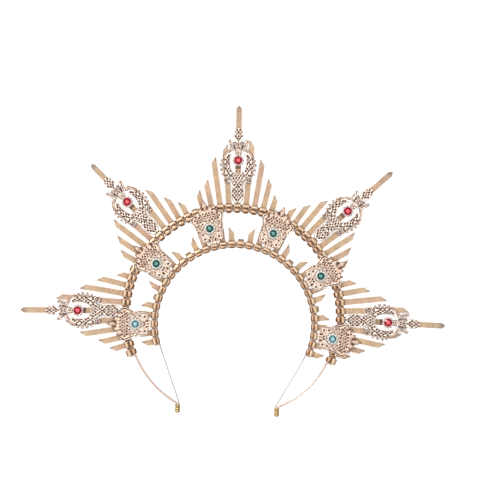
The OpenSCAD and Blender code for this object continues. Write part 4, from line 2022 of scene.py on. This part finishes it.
class Spire(Filigree):
    """The large spire: pitted eyelet, horns, a window round the stone, leafy wings and a pitted tail."""

    def one_side(self) -> list[Strand]:
        """Returns the strands that are mirrored."""
        s = smooth
        return [
            # ribs of the neck
            Strand(s([(1.0, 17.0), (0.9, 14.6), (0.5, 12.0)]), 0.7, taper=0.3),
            Strand(s([(2.3, 16.6), (2.1, 13.8), (1.7, 11.6), (1.9, 9.2)]), 0.7, taper=0.3),
            # low strands at the horns' tips, dark as painted shadow
            Strand(s([(5.3, 16.9), (6.7, 18.0), (8.4, 17.9)]), 0.5, -0.7),
            # rim of the window
            Strand(s([
                (1.4, 8.5), (3.7, 6.9), (6.1, 3.9), (7.3, -0.2),
                (7.1, -4.6), (5.8, -8.6), (3.2, -11.0), (0.0, -11.7),
            ]), 0.62),
            # curl at the foot of the wing
            Strand(scroll((9.8, -17.0), 2.2, 2.2, 0.0, 345.0), 0.7, closed=True),
            Strand(s([(9.3, -18.6), (9.1, -17.0), (10.1, -15.9), (10.9, -17.2)]), 0.6, taper=0.3),
            # a low strand under the curl, dark as painted shadow on the ray below it
            Strand(s([(7.0, -19.2), (8.8, -20.0), (10.8, -19.8), (12.5, -18.2)]), 0.5, -0.7),
            # swag across the foot of the window, hooks over the tail
            Strand(s([(14.0, -12.6), (10.8, -14.7), (7.2, -15.3), (3.6, -14.6), (0.0, -14.0)]), 0.6, 0.1),
            Strand(s([(7.6, -19.2), (6.4, -17.5), (4.6, -17.9), (2.4, -17.4), (0.0, -16.6)]), 0.55, 0.05),
            Strand(
                s([(3.4, -19.4), (5.6, -20.8), (6.0, -22.8), (4.6, -23.7), (3.6, -22.8)]), 0.65, taper=0.3,
            ),
        ]

    def middle(self) -> list[Strand]:
        """Returns the strands on the middle line."""
        return [
            Strand(smooth([(0.0, -24.4), (0.0, -30.0), (0.0, -36.8)]), 0.5, 0.05),
            Strand(scroll((0.0, 8.6), 1.4, 1.4, 0.0, 345.0), 0.75, 0.1, closed=True),
        ]

    def webs(self) -> list[Draft]:
        """Returns the pitted plates of the eyelet, the neck, the wings' bands and the tail, with the horns,
        shoulders, leaves and dark buttons.
        """
        fine = {"across": 2.7, "along": 1.9, "size": (0.5, 0.8), "turn": 34.0}
        eyelet = lattice([
            (17.0, 0.0, 2.9), (20.0, 0.0, 4.0), (23.0, 0.0, 4.1), (26.0, 0.0, 2.7), (27.3, 0.0, 1.3),
        ], **fine)
        neck = [
            Pit(3.3, 15.1, 0.5, 1.1, 68.0), Pit(3.1, 10.4, 0.45, 1.2, 4.0), Pit(1.55, 14.2, 0.4, 1.0, 14.0),
            Pit(0.0, 6.9, 0.6, 0.8), Pit(0.0, 13.6, 0.35, 1.2), Pit(1.2, 10.4, 0.4, 1.2, -8.0),
            Pit(3.2, 12.9, 0.35, 0.8, 80.0),
        ]
        band = lattice([
            (-14.9, 6.9, 9.9), (-13.4, 6.2, 10.6), (-11.0, 5.4, 11.0), (-8.6, 6.6, 11.4),
            (-5.0, 7.8, 12.1), (-1.0, 8.2, 12.2), (2.4, 7.9, 11.6), (5.4, 7.2, 9.8),
        ], **fine)
        tail = lattice([
            (-36.4, 0.0, 1.9), (-34.4, 0.0, 4.2), (-31.0, 0.0, 4.9), (-27.0, 0.0, 4.8), (-24.0, 0.0, 4.3),
            (-22.0, 0.0, 4.1), (-19.6, 0.0, 4.9), (-17.4, 0.0, 6.0), (-14.6, 0.0, 6.9), (-11.2, 0.0, 5.4),
        ], **fine)
        parts = [
            self.plate(
                [(0.4, 28.3), (2.0, 27.1), (3.4, 25.2), (4.0, 22.6), (4.0, 19.8), (3.5, 17.6), (2.8, 15.8)],
                eyelet, high=1.62, low=0.7, rows=48, columns=30,
            ),
            self.plate(
                [(2.4, 16.2), (4.2, 14.9), (4.0, 12.6), (3.5, 10.4), (2.6, 8.4), (1.8, 4.9)],
                neck, high=1.42, low=0.6, rows=34, columns=26,
            ),
            self.plate(
                [(4.6, -11.2), (6.6, -12.6), (7.0, -14.6), (6.1, -17.4), (5.0, -19.6), (4.2, -21.8),
                 (4.3, -23.4), (4.8, -25.8), (5.0, -28.6), (4.9, -32.0), (3.9, -35.2), (1.6, -37.3)],
                tail, high=1.6, low=0.6, rows=104, columns=44,
            ),
        ]
        inner = [(6.4, 5.4), (7.5, 2.4), (7.8, -1.0), (7.4, -5.0), (6.2, -8.6), (5.2, -11.4), (6.4, -15.2)]
        outer = [
            (9.0, 6.6), (11.2, 3.8), (12.3, -0.4), (12.0, -5.6), (11.4, -10.4), (11.0, -13.2), (9.8, -15.6),
        ]
        for side in (-1.0, 1.0):
            edges = [resampled(smooth([(side * x, y) for x, y in line]), 80) for line in (inner, outer)]
            parts.append(web(*edges, pitted(band, 1.62, 0.5), 18, Edge(self.depth, 0.4, 0.25)))
        horn = (
            [(3.0, 8.6), (3.8, 11.0), (4.6, 13.6), (5.9, 16.0), (7.6, 17.6)],
            [(5.8, 8.3), (7.0, 10.4), (7.8, 12.6), (8.6, 15.0), (9.2, 17.2)],
        )
        shoulder = (
            [(4.4, 8.6), (7.4, 6.9), (9.2, 4.7), (10.3, 2.4), (10.9, 0.6)],
            [(6.4, 11.0), (9.5, 8.6), (11.9, 5.4), (12.7, 2.4), (12.3, 0.2)],
        )
        parts += self.blade(*horn) + self.blade(*shoulder)
        for base, tip, width, bend in (
            ((10.9, 1.4), (14.1, 3.4), 2.8, 0.4),
            ((11.2, -2.2), (15.4, 0.2), 3.1, 0.5),
            ((11.2, -6.0), (16.1, -3.6), 3.3, 0.5),
            ((10.4, -9.6), (15.7, -8.1), 3.3, 0.6),
            ((8.9, -12.4), (14.6, -12.6), 3.0, 0.6),
            ((8.0, -14.6), (12.6, -15.4), 2.2, 0.4),
        ):
            parts += self.petal(base, tip, width, bend)
        for base, tip, width in (
            ((1.4, 14.4), (5.0, 16.0), 1.6),
            ((1.9, 12.4), (4.8, 12.6), 1.4),
            ((1.2, -18.4), (4.9, -19.6), 1.6),
        ):
            parts += self.petal(base, tip, width, high=1.75, vein=0.0)
        # Dark buttons in the curls and between the leaves: painted shadow.
        shade_buttons = (
            (9.8, -17.0, 1.9, 0.55), (9.2, -16.3, 0.45, 0.62), (10.6, -18.1, 0.45, 0.62),
            (12.5, -3.9, 0.45, 0.4), (12.8, -7.8, 0.45, 0.4),
        )
        spots = [Spot((s * x, y, 0.15), size=(r, r, h)) for x, y, r, h in shade_buttons for s in (-1.0, 1.0)]
        parts.append(self.pits(spots))
        return parts

    def beads(self) -> list[Spot]:
        """Returns the beads."""
        return [self.bead(*sizes) for sizes in (
            (0.0, 11.6, 0.7), (0.0, 8.6, 0.55, 1.6), (4.6, -11.0, 0.5),
            (0.0, -12.6, 0.6), (3.6, -22.8, 0.45), (0.0, -23.4, 0.6),
        )]


class Plaque(Filigree):
    """The smaller plaque that bridges the arches: scrolls, leaves and a pointed crown end."""

    def one_side(self) -> list[Strand]:
        """Returns the strands that are mirrored."""
        s = smooth
        return [
            # scrolls of the inner end
            Strand(scroll((6.2, -8.2), 1.5, 1.7, -180.0, 160.0), 1.7),
            Strand(s([(6.8, -10.9), (9.0, -9.6), (9.6, -6.8), (9.7, -4.2), (10.2, -2.2)]), 0.95),
            Strand(s([(4.5, -9.6), (3.4, -11.8), (1.6, -13.2), (0.0, -13.4)]), 0.9),
            Strand(s([(4.4, -8.0), (3.2, -6.6), (1.4, -6.4), (0.0, -7.2)]), 0.8),
            # side: waist ring and its stems
            Strand(scroll((10.0, -1.0), 1.5, 1.5, 0.0, 345.0), 0.8, closed=True),
            Strand(s([(8.8, -6.2), (8.2, -3.6), (8.6, -1.0), (9.8, 0.2)]), 0.7),
            Strand(s([(11.2, 1.9), (12.2, 4.4), (13.4, 7.0), (14.4, 9.8), (13.6, 12.2), (11.4, 13.2)]), 0.9),
            Strand(scroll((8.6, 4.2), 0.5, 1.9, 90.0, 470.0), 0.75, taper=0.2),
            Strand(s([(6.2, -1.4), (7.6, 1.2), (7.0, 4.2), (5.0, 6.2)]), 0.7),
            Strand(s([(0.0, 7.6), (2.9, 8.0), (4.4, 9.6), (3.4, 12.0)]), 0.7),
            Strand(scroll((3.0, 9.4), 0.4, 1.2, 0.0, 300.0), 0.6, 0.1, taper=0.3),
        ]

    def middle(self) -> list[Strand]:
        """Returns the strands on the middle line."""
        return [
            Strand(scroll((0.0, 0.0), 6.0, 6.0, 0.0, 354.0), 0.7, closed=True),
            Strand(smooth([(0.0, -6.8), (0.0, -10.0), (0.0, -13.2)]), 0.5, taper=0.2),
        ]

    def grains(self) -> tuple[list[Spot], list[Pit]]:
        """Returns the granulation: small beads and pits by turns round the setting and up to the leaves."""
        spans = [
            (-9.6, 0.0, 7.2), (-5.0, 0.0, 8.4), (0.0, 0.0, 8.9), (6.0, 0.0, 11.0),
            (9.0, 0.0, 11.6), (12.0, 0.0, 10.0), (14.6, 0.0, 5.0),
        ]
        pits = [
            pit for pit in lattice(spans, across=2.7, along=1.9, size=(0.5, 0.75), turn=24.0)
            if math.hypot(pit.x, pit.y) > 6.4 and math.hypot(pit.x - 6.2, pit.y + 8.2) > 2.9
        ]
        beads = [self.bead(pit.x + 1.35, pit.y, 0.72) for pit in pits if -6.0 < pit.y < 12.0 and pit.x < 9.0]
        return beads, pits

    def webs(self) -> list[Draft]:
        """Returns the pitted plates and the leaves of the crown end."""
        pits = self.grains()[1] + [
            Pit(6.2, -8.2, 0.5, 0.5, 0.0, 0.5), Pit(10.0, -1.0, 0.6, 0.6, 0.0, 0.6),
            Pit(0.0, -11.2, 0.4, 0.5, 0.0, 0.2), Pit(2.5, -10.7, 0.45, 0.6, 20.0, 0.2),
            Pit(4.2, -11.4, 0.4, 0.5), Pit(8.6, 4.2, 0.5, 0.5), Pit(1.8, 6.7, 0.4, 0.6, 20.0, 0.3),
            Pit(2.7, 18.0, 0.5, 1.4, 14.0, 1.1), Pit(6.1, 15.6, 0.4, 1.0, 40.0, 1.1),
            Pit(9.5, 12.5, 0.4, 1.0, 55.0, 1.1), Pit(0.0, 0.0, 5.6, 5.6, 0.0, 1.8), Pit(0.0, 20.4, 2.5, 4.2),
        ]
        crown = [
            (12.2, 6.2), (13.4, 9.0), (12.8, 11.6), (9.8, 13.6),
            (7.6, 15.6), (5.4, 17.6), (2.8, 19.8), (0.5, 23.2),
        ]
        body = [(2.2, -12.8), (6.4, -10.6), (9.0, -8.8), (9.4, -4.8), (10.2, -0.6), (11.0, 2.8), (12.2, 6.3)]
        parts = [
            self.plate(crown, pits, high=1.38, low=0.6, rows=72, columns=84),
            self.plate(body, pits, high=1.38, low=0.6, rows=76, columns=76),
        ]
        for base, tip, width, bend in (
            ((7.6, 8.6), (13.8, 11.8), 2.8, 0.3),
            ((4.8, 11.0), (10.4, 16.4), 2.9, -0.3),
            ((1.8, 13.0), (5.7, 19.6), 2.8, -0.3),
            ((0.5, -8.0), (2.3, -12.4), 1.9, -0.3),
            ((9.4, 1.6), (10.9, 5.4), 1.7, 0.3),
        ):
            parts += self.petal(base, tip, width, bend, high=1.56)
        half = [(0.3, 14.6), (1.4, 17.4), (2.1, 20.2), (1.6, 22.8), (0.2, 25.2)]
        return parts + self.blade([(-x, y) for x, y in half], half, high=1.2, vein=0.1)[:1]

    def beads(self) -> list[Spot]:
        """Returns the beads."""
        return self.grains()[0] + [self.bead(*sizes) for sizes in (
            (0.0, -9.4, 0.6), (0.0, -13.0, 0.5), (8.6, 4.2, 0.5),
            (0.0, 9.2, 0.8), (13.6, 12.2, 0.55), (3.0, 9.4, 0.45),
        )]


@dataclass
class SetStone:
    """A petalled setting and its round cut stone, on their own axis from their seat upward.

    Attributes:
        shop: what it builds with.
        stone_d: diameter of the stone.
        across: diameter across the petals.
        petals: number of petals.
        claws: number of claws.
        girdle: height of the stone's widest place.
        crown: height of the stone's crown.
    """

    shop: Workshop
    stone_d: float
    across: float = 10.6
    petals: int = 10
    claws: int = 8
    girdle: float = 1.7
    crown: float = 1.1

    def around(
        self, count: int, r: float, z: float, size: Triple, lean: float = 0.0, shift: float = 0.0
    ) -> list[Spot]:
        """Returns spots evenly round the axis, each turned to face outwards.

        Args:
            count: how many there are.
            r: their distance from the axis.
            z: their height.
            size: their scale along X, Y and Z.
            lean: how far they lean, in degrees.
            shift: the first one's turn, as a share of the angle between two.

        Returns:
            The spots.
        """
        spots = []
        for i in range(count):
            a = 360.0 * (i + shift) / count
            x, y = r * math.cos(math.radians(a)), r * math.sin(math.radians(a))
            spots.append(Spot((x, y, z), (0.0, lean, a), size))
        return spots

    def setting(self) -> Draft:
        """Draws the setting: dish, petals, beaded collar and claws."""
        r = self.stone_d / 2
        edge = self.across / 2
        # Painted light on the dish: its lip and the collar round the stone lit, its hollows in painted shade.
        dish = lathe(
            [(0.05, 0.0), (edge - 1.3, 0.0), (edge - 1.0, 0.25), (edge - 1.3, 0.55), (r + 0.75, 0.7),
             (r + 0.6, 1.1), (r + 0.55, 1.75), (r + 0.38, 1.98), (r + 0.14, 1.9), (r + 0.1, 1.5),
             (r * 0.7, 0.6), (0.05, 0.5)],
            48,
            relief=np.array([0.0, 0.1, 0.5, 0.5, 0.25, 0.4, 0.95, 1.0, 0.8, 0.3, 0.0, 0.0]),
        )
        petal = dome(14, 5)
        copies = self.shop.scatter.copies
        return Draft.joined([
            dish,
            copies(petal, self.around(self.petals, edge - 1.25, 0.0, (1.25, 1.36, 1.05))),
            copies(petal, self.around(self.petals, edge - 1.75, 0.55, (0.75, 0.42, 0.75), shift=0.5)),
            copies(dome(8, 3), self.around(28, r + 0.62, 1.25, (0.3, 0.3, 0.42))),
            copies(petal, self.around(self.claws, r + 0.32, 1.3, (0.4, 0.34, 1.0), -10.0, 0.25)),
        ])

    def stone(self) -> Draft:
        """Draws the stone with its table, stars, kites and girdle facets, each facet on its own points with its
        own painted brightness.
        """
        r = self.stone_d / 2
        low, high = self.girdle, self.girdle + self.crown
        n = 8

        def ring(radius: float, z: float, count: int, shift: float = 0.0) -> list[np.ndarray]:
            """Returns a ring of points."""
            turns = [2 * math.pi * (i + shift) / count for i in range(count)]
            return [np.array([radius * math.cos(a), radius * math.sin(a), z]) for a in turns]

        table = ring(r * 0.44, high, n)
        waist = ring(r * 0.68, low + self.crown * 0.66, n, 0.5)
        rim = ring(r, low + 0.12, 2 * n)
        base = ring(r, low, 2 * n)
        tip = np.array([0.0, 0.0, 0.5])
        # Painted reflection: each facet's shading is how bright it is painted, the table brightest and the rim
        # darkest.
        facets = [(table, 0.9)]
        for i in range(n):
            j = (i + 1) % n
            facets.append(([table[i], waist[i], table[j]], 0.78 if i % 2 else 0.5))
            after = rim[(2 * i + 2) % (2 * n)]
            facets.append(([table[j], waist[i], after, waist[j]], 0.22 + 0.24 * (i % 3 == 0)))
            facets.append(([waist[i], rim[2 * i], rim[2 * i + 1]], 0.06 + 0.2 * (i % 4 == 1)))
            facets.append(([waist[i], rim[2 * i + 1], after], 0.02 + 0.15 * (i % 4 == 3)))
        for i in range(2 * n):
            j = (i + 1) % (2 * n)
            facets.append(([rim[i], base[i], base[j], rim[j]], 0.1))
            facets.append(([base[i], tip, base[j]], 0.25))
        points, faces, relief = [], [], []
        for corners, shade in facets:
            faces.append(range(len(points), len(points) + len(corners)))
            points.extend(corners)
            relief.extend([shade] * len(corners))
        return Draft.shell(np.array(points), faces, relief=np.array(relief))


@dataclass
class Studio:
    """Camera, lights and floor.

    Attributes:
        view_w: width that the picture takes in at the crown.
        view_at: what is in the middle of the picture.
        roll: angle that the picture is turned by.
        distance: height of the camera.
    """

    view_w: float = 0.435
    view_at: Flat = (0.0125, 0.0093)
    roll: float = 2.353
    distance: float = 1.6

    def camera(self) -> None:
        """Sets the camera straight above the crown."""
        data = bpy.data.cameras.new("camera")
        data.sensor_width = 36.0
        data.lens = data.sensor_width * self.distance / self.view_w
        data.clip_end = 50.0
        camera = stand("camera", data)
        camera.location = (*self.view_at, self.distance + 0.005)
        camera.rotation_euler = (0.0, 0.0, math.radians(self.roll))
        bpy.context.scene.camera = camera

    def softbox(self, name: str, place: Triple, size: float, power: float) -> None:
        """Hangs one square light that faces the crown.

        Args:
            name: its name.
            place: where it hangs, in metres.
            size: length of its sides.
            power: its power in watts.
        """
        data = bpy.data.lights.new(name, "AREA")
        data.shape = "SQUARE"
        data.size = size
        data.energy = power
        light = stand(name, data)
        light.location = place
        light.rotation_euler = Vector(place).to_track_quat("Z", "Y").to_euler()

    def surroundings(self) -> None:
        """Gives the room a pale horizon, a darker band above it and a soft ceiling."""
        world = bpy.data.worlds.new("studio")
        world.use_nodes = True
        room = Nodes(world.node_tree)
        place = room.node("ShaderNodeTexCoord")["Generated"]
        up = room.node("ShaderNodeSeparateXYZ", inputs={"Vector": place})["Z"]
        stops = ((0.0, 0.95), (0.12, 0.9), (0.3, 0.34), (0.62, 0.30), (0.86, 0.75), (1.0, 0.95))
        grey = room.node("ShaderNodeValToRGB", {"stops": stops}, {"Fac": up})["Color"]
        back = world.node_tree.nodes["Background"].inputs
        room.feed(back["Color"], grey)
        room.feed(back["Strength"], 0.9)
        bpy.context.scene.world = world

    def floor(self) -> None:
        """Lays the paper, large enough for every view."""
        half = 6.0
        mesh = bpy.data.meshes.new("floor")
        corners = [(-half, -half, 0.0), (half, -half, 0.0), (half, half, 0.0), (-half, half, 0.0)]
        mesh.from_pydata(corners, [], [(0, 1, 2, 3)])
        mesh.materials.append(PAPER.material())
        stand("floor", mesh)

    def build(self) -> None:
        """Builds the studio."""
        self.camera()
        self.surroundings()
        self.softbox("overhead", (-0.25, 0.25, 2.4), size=1.8, power=11.5)
        self.softbox("key", (-1.3, 1.2, 1.7), size=0.6, power=16.0)
        self.floor()
        bpy.context.scene.view_settings.view_transform = "Standard"


@dataclass
class HaloCrown:
    """The whole headband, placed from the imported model's own boxes.

    Attributes:
        shop: what everything is built with.
        outer_r: radius of the outer arch.
        outer_d: diameter of the outer wire.
        inner_r: radius of the inner arch.
        inner_d: diameter of the inner wire.
        outer_step: angle from one outer tie to the next.
        inner_step: angle from one inner tie to the next.
        inner_turn: angle of the inner tie with index 0.
        inner_back: how far the inner ties' loops reach beyond their wire.
        inner_shift: the inner arch's centre from the outer one's.
        sides: names of the fans, from low left to low right.
        plaque_sides: names of the plaques, from low left to low right.
        outer_cuts: index of the first outer tie of each node, and one past the last.
        inner_cuts: the same for the inner ties.
        plaque_ties: index of the inner tie behind each plaque.
        spire_stone_d: diameter of a spire's stone.
        plaque_stone_d: diameter of a plaque's stone.
        lace_sharp: angle in degrees above which an edge of a casting stays sharp.
    """

    shop: Workshop = field(default_factory=Workshop)
    outer_r: float = 91.6
    outer_d: float = 2.0
    inner_r: float = 67.4
    inner_d: float = 1.2
    outer_step: float = 4.49
    inner_step: float = 6.26
    inner_turn: float = 2.0
    inner_back: float = 0.4
    inner_shift: Flat = (1.7, -7.7)
    sides: tuple[str, ...] = ("low_left", "high_left", "top", "high_right", "low_right")
    plaque_sides: tuple[str, ...] = (
        "low_left", "high_left", "top_left", "top_right", "high_right", "low_right",
    )
    outer_cuts: tuple[int, ...] = (-25, -14, -4, 5, 15, 26)
    inner_cuts: tuple[int, ...] = (-17, -11, -5, 0, 6, 12, 18)
    plaque_ties: tuple[int, ...] = (-15, -9, -3, 3, 9, 15)
    spire_stone_d: float = 6.9
    plaque_stone_d: float = 6.2
    lace_sharp: float = 50.0

    def outer_arch(self) -> Arch:
        """Returns the outer arch, its middle worked out from the wire's box."""
        low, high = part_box("outer_wire")
        middle = ((low.x + high.x) / 2 / METRE, high.y / METRE - self.outer_r - self.outer_d / 2)
        return Arch(middle, self.outer_r, self.outer_d)

    def inner_arch(self) -> Arch:
        """Returns the inner arch."""
        x, y = self.outer_arch().centre
        return Arch((x + self.inner_shift[0], y + self.inner_shift[1]), self.inner_r, self.inner_d)

    def foot(self, node: str) -> Flat:
        """Returns the lower end of a sleeve."""
        low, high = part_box(node)
        return ((low.x + high.x) / 2 / METRE, low.y / METRE)

    def ties(self) -> tuple[OuterTies, InnerTies]:
        """Builds the ties of both wires."""
        groups = {
            f"outer_ties_{side}": [k for k in range(start, stop) if k % FAN]
            for side, start, stop in zip(self.sides, self.outer_cuts, self.outer_cuts[1:])
        }
        groups |= {f"spire_tie_{side}": [FAN * (i - MIDDLE_FAN)] for i, side in enumerate(self.sides)}
        outer = OuterTies(self.shop, self.outer_arch(), self.outer_step, 0.0, groups)
        outer.build()
        groups = {
            f"inner_ties_{side}": list(range(start, stop))
            for side, start, stop in zip(self.plaque_sides, self.inner_cuts, self.inner_cuts[1:])
        }
        inner = InnerTies(
            self.shop, self.inner_arch(), self.inner_step, self.inner_turn, groups,
            CableTie(loop_back=self.inner_back), self.outer_arch().centre,
        )
        inner.build()
        return outer, inner

    def seat(self, node: str, angle: float) -> Placement:
        """Returns the placement of a setting, from its box and its ray's angle.

        Args:
            node: the setting's node.
            angle: the ray's angle.

        Returns:
            The placement.
        """
        low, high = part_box(node)
        middle = (low + high) / 2 / METRE
        return Placement(middle.x, middle.y, low.z / METRE, angle)

    def jewels(self, outer: OuterTies, inner: InnerTies) -> None:
        """Builds the spires, the plaques, their settings and their stones.

        Args:
            outer: the ties that carry the spires.
            inner: the ties that lie behind the plaques.
        """
        spire = Spire(self.shop).draw()
        plaque = Plaque(self.shop).draw()
        large, small = SetStone(self.shop, self.spire_stone_d), SetStone(self.shop, self.plaque_stone_d)
        large_pair = (large.setting(), large.stone())
        small_pair = (small.setting(), small.stone())
        for i, side in enumerate(self.sides):
            k = FAN * (i - MIDDLE_FAN)
            seat = self.seat(f"spire_setting_{side}", outer.head_place(k).angle + outer.lean[i])
            lace = spire.placed(seat, tint=tint_of(k))
            self.shop.piece(f"spire_{side}_lace", lace, FILIGREE, f"spire_{side}", self.lace_sharp)
            self.jewel("spire", side, seat, large_pair, (ROSY_SILVER, RED_GLASS))
        for k, side in zip(self.plaque_ties, self.plaque_sides):
            seat = self.seat(f"plaque_setting_{side}", inner.head_place(k).angle)
            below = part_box(f"plaque_{side}")[0].z / METRE
            lace = plaque.placed(replace(seat, z=below), tint=tint_of(k), wear=1.0)
            self.shop.piece(f"plaque_{side}_lace", lace, FILIGREE, f"plaque_{side}", self.lace_sharp)
            glass = AQUA_GLASS if side.startswith("low") else GREEN_GLASS
            self.jewel("plaque", side, seat, small_pair, (SILVER, glass))

    def jewel(
        self, kind: str, side: str, seat: Placement, pair: tuple[Draft, Draft], looks: tuple[Finish, Finish]
    ) -> None:
        """Builds one setting and its stone.

        Args:
            kind: the casting that carries them, spire or plaque.
            side: name of its place.
            seat: where they sit.
            pair: the drawings of the setting and of the stone.
            looks: the finishes of both.
        """
        cup, stone = f"{kind}_setting_{side}", f"{kind}_stone_{side}"
        self.shop.piece(f"{cup}_cup", pair[0].placed(seat), looks[0], cup, 45.0)
        self.shop.piece(f"{stone}_cut", pair[1].placed(seat), looks[1], stone, 1.0)

    def build(self) -> None:
        """Builds every sub-assembly in order."""
        outer, inner = self.ties()
        feet = (self.foot("ferrule_left"), self.foot("ferrule_right"))
        ArchWires(self.shop, self.outer_arch(), self.inner_arch(), feet).build()
        self.jewels(outer, inner)


def main() -> None:
    """Builds the studio and the headband."""
    logging.basicConfig(level=logging.INFO, format="%(message)s")
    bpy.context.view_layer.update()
    Studio().build()
    HaloCrown().build()


if __name__ == "__main__":
    main()
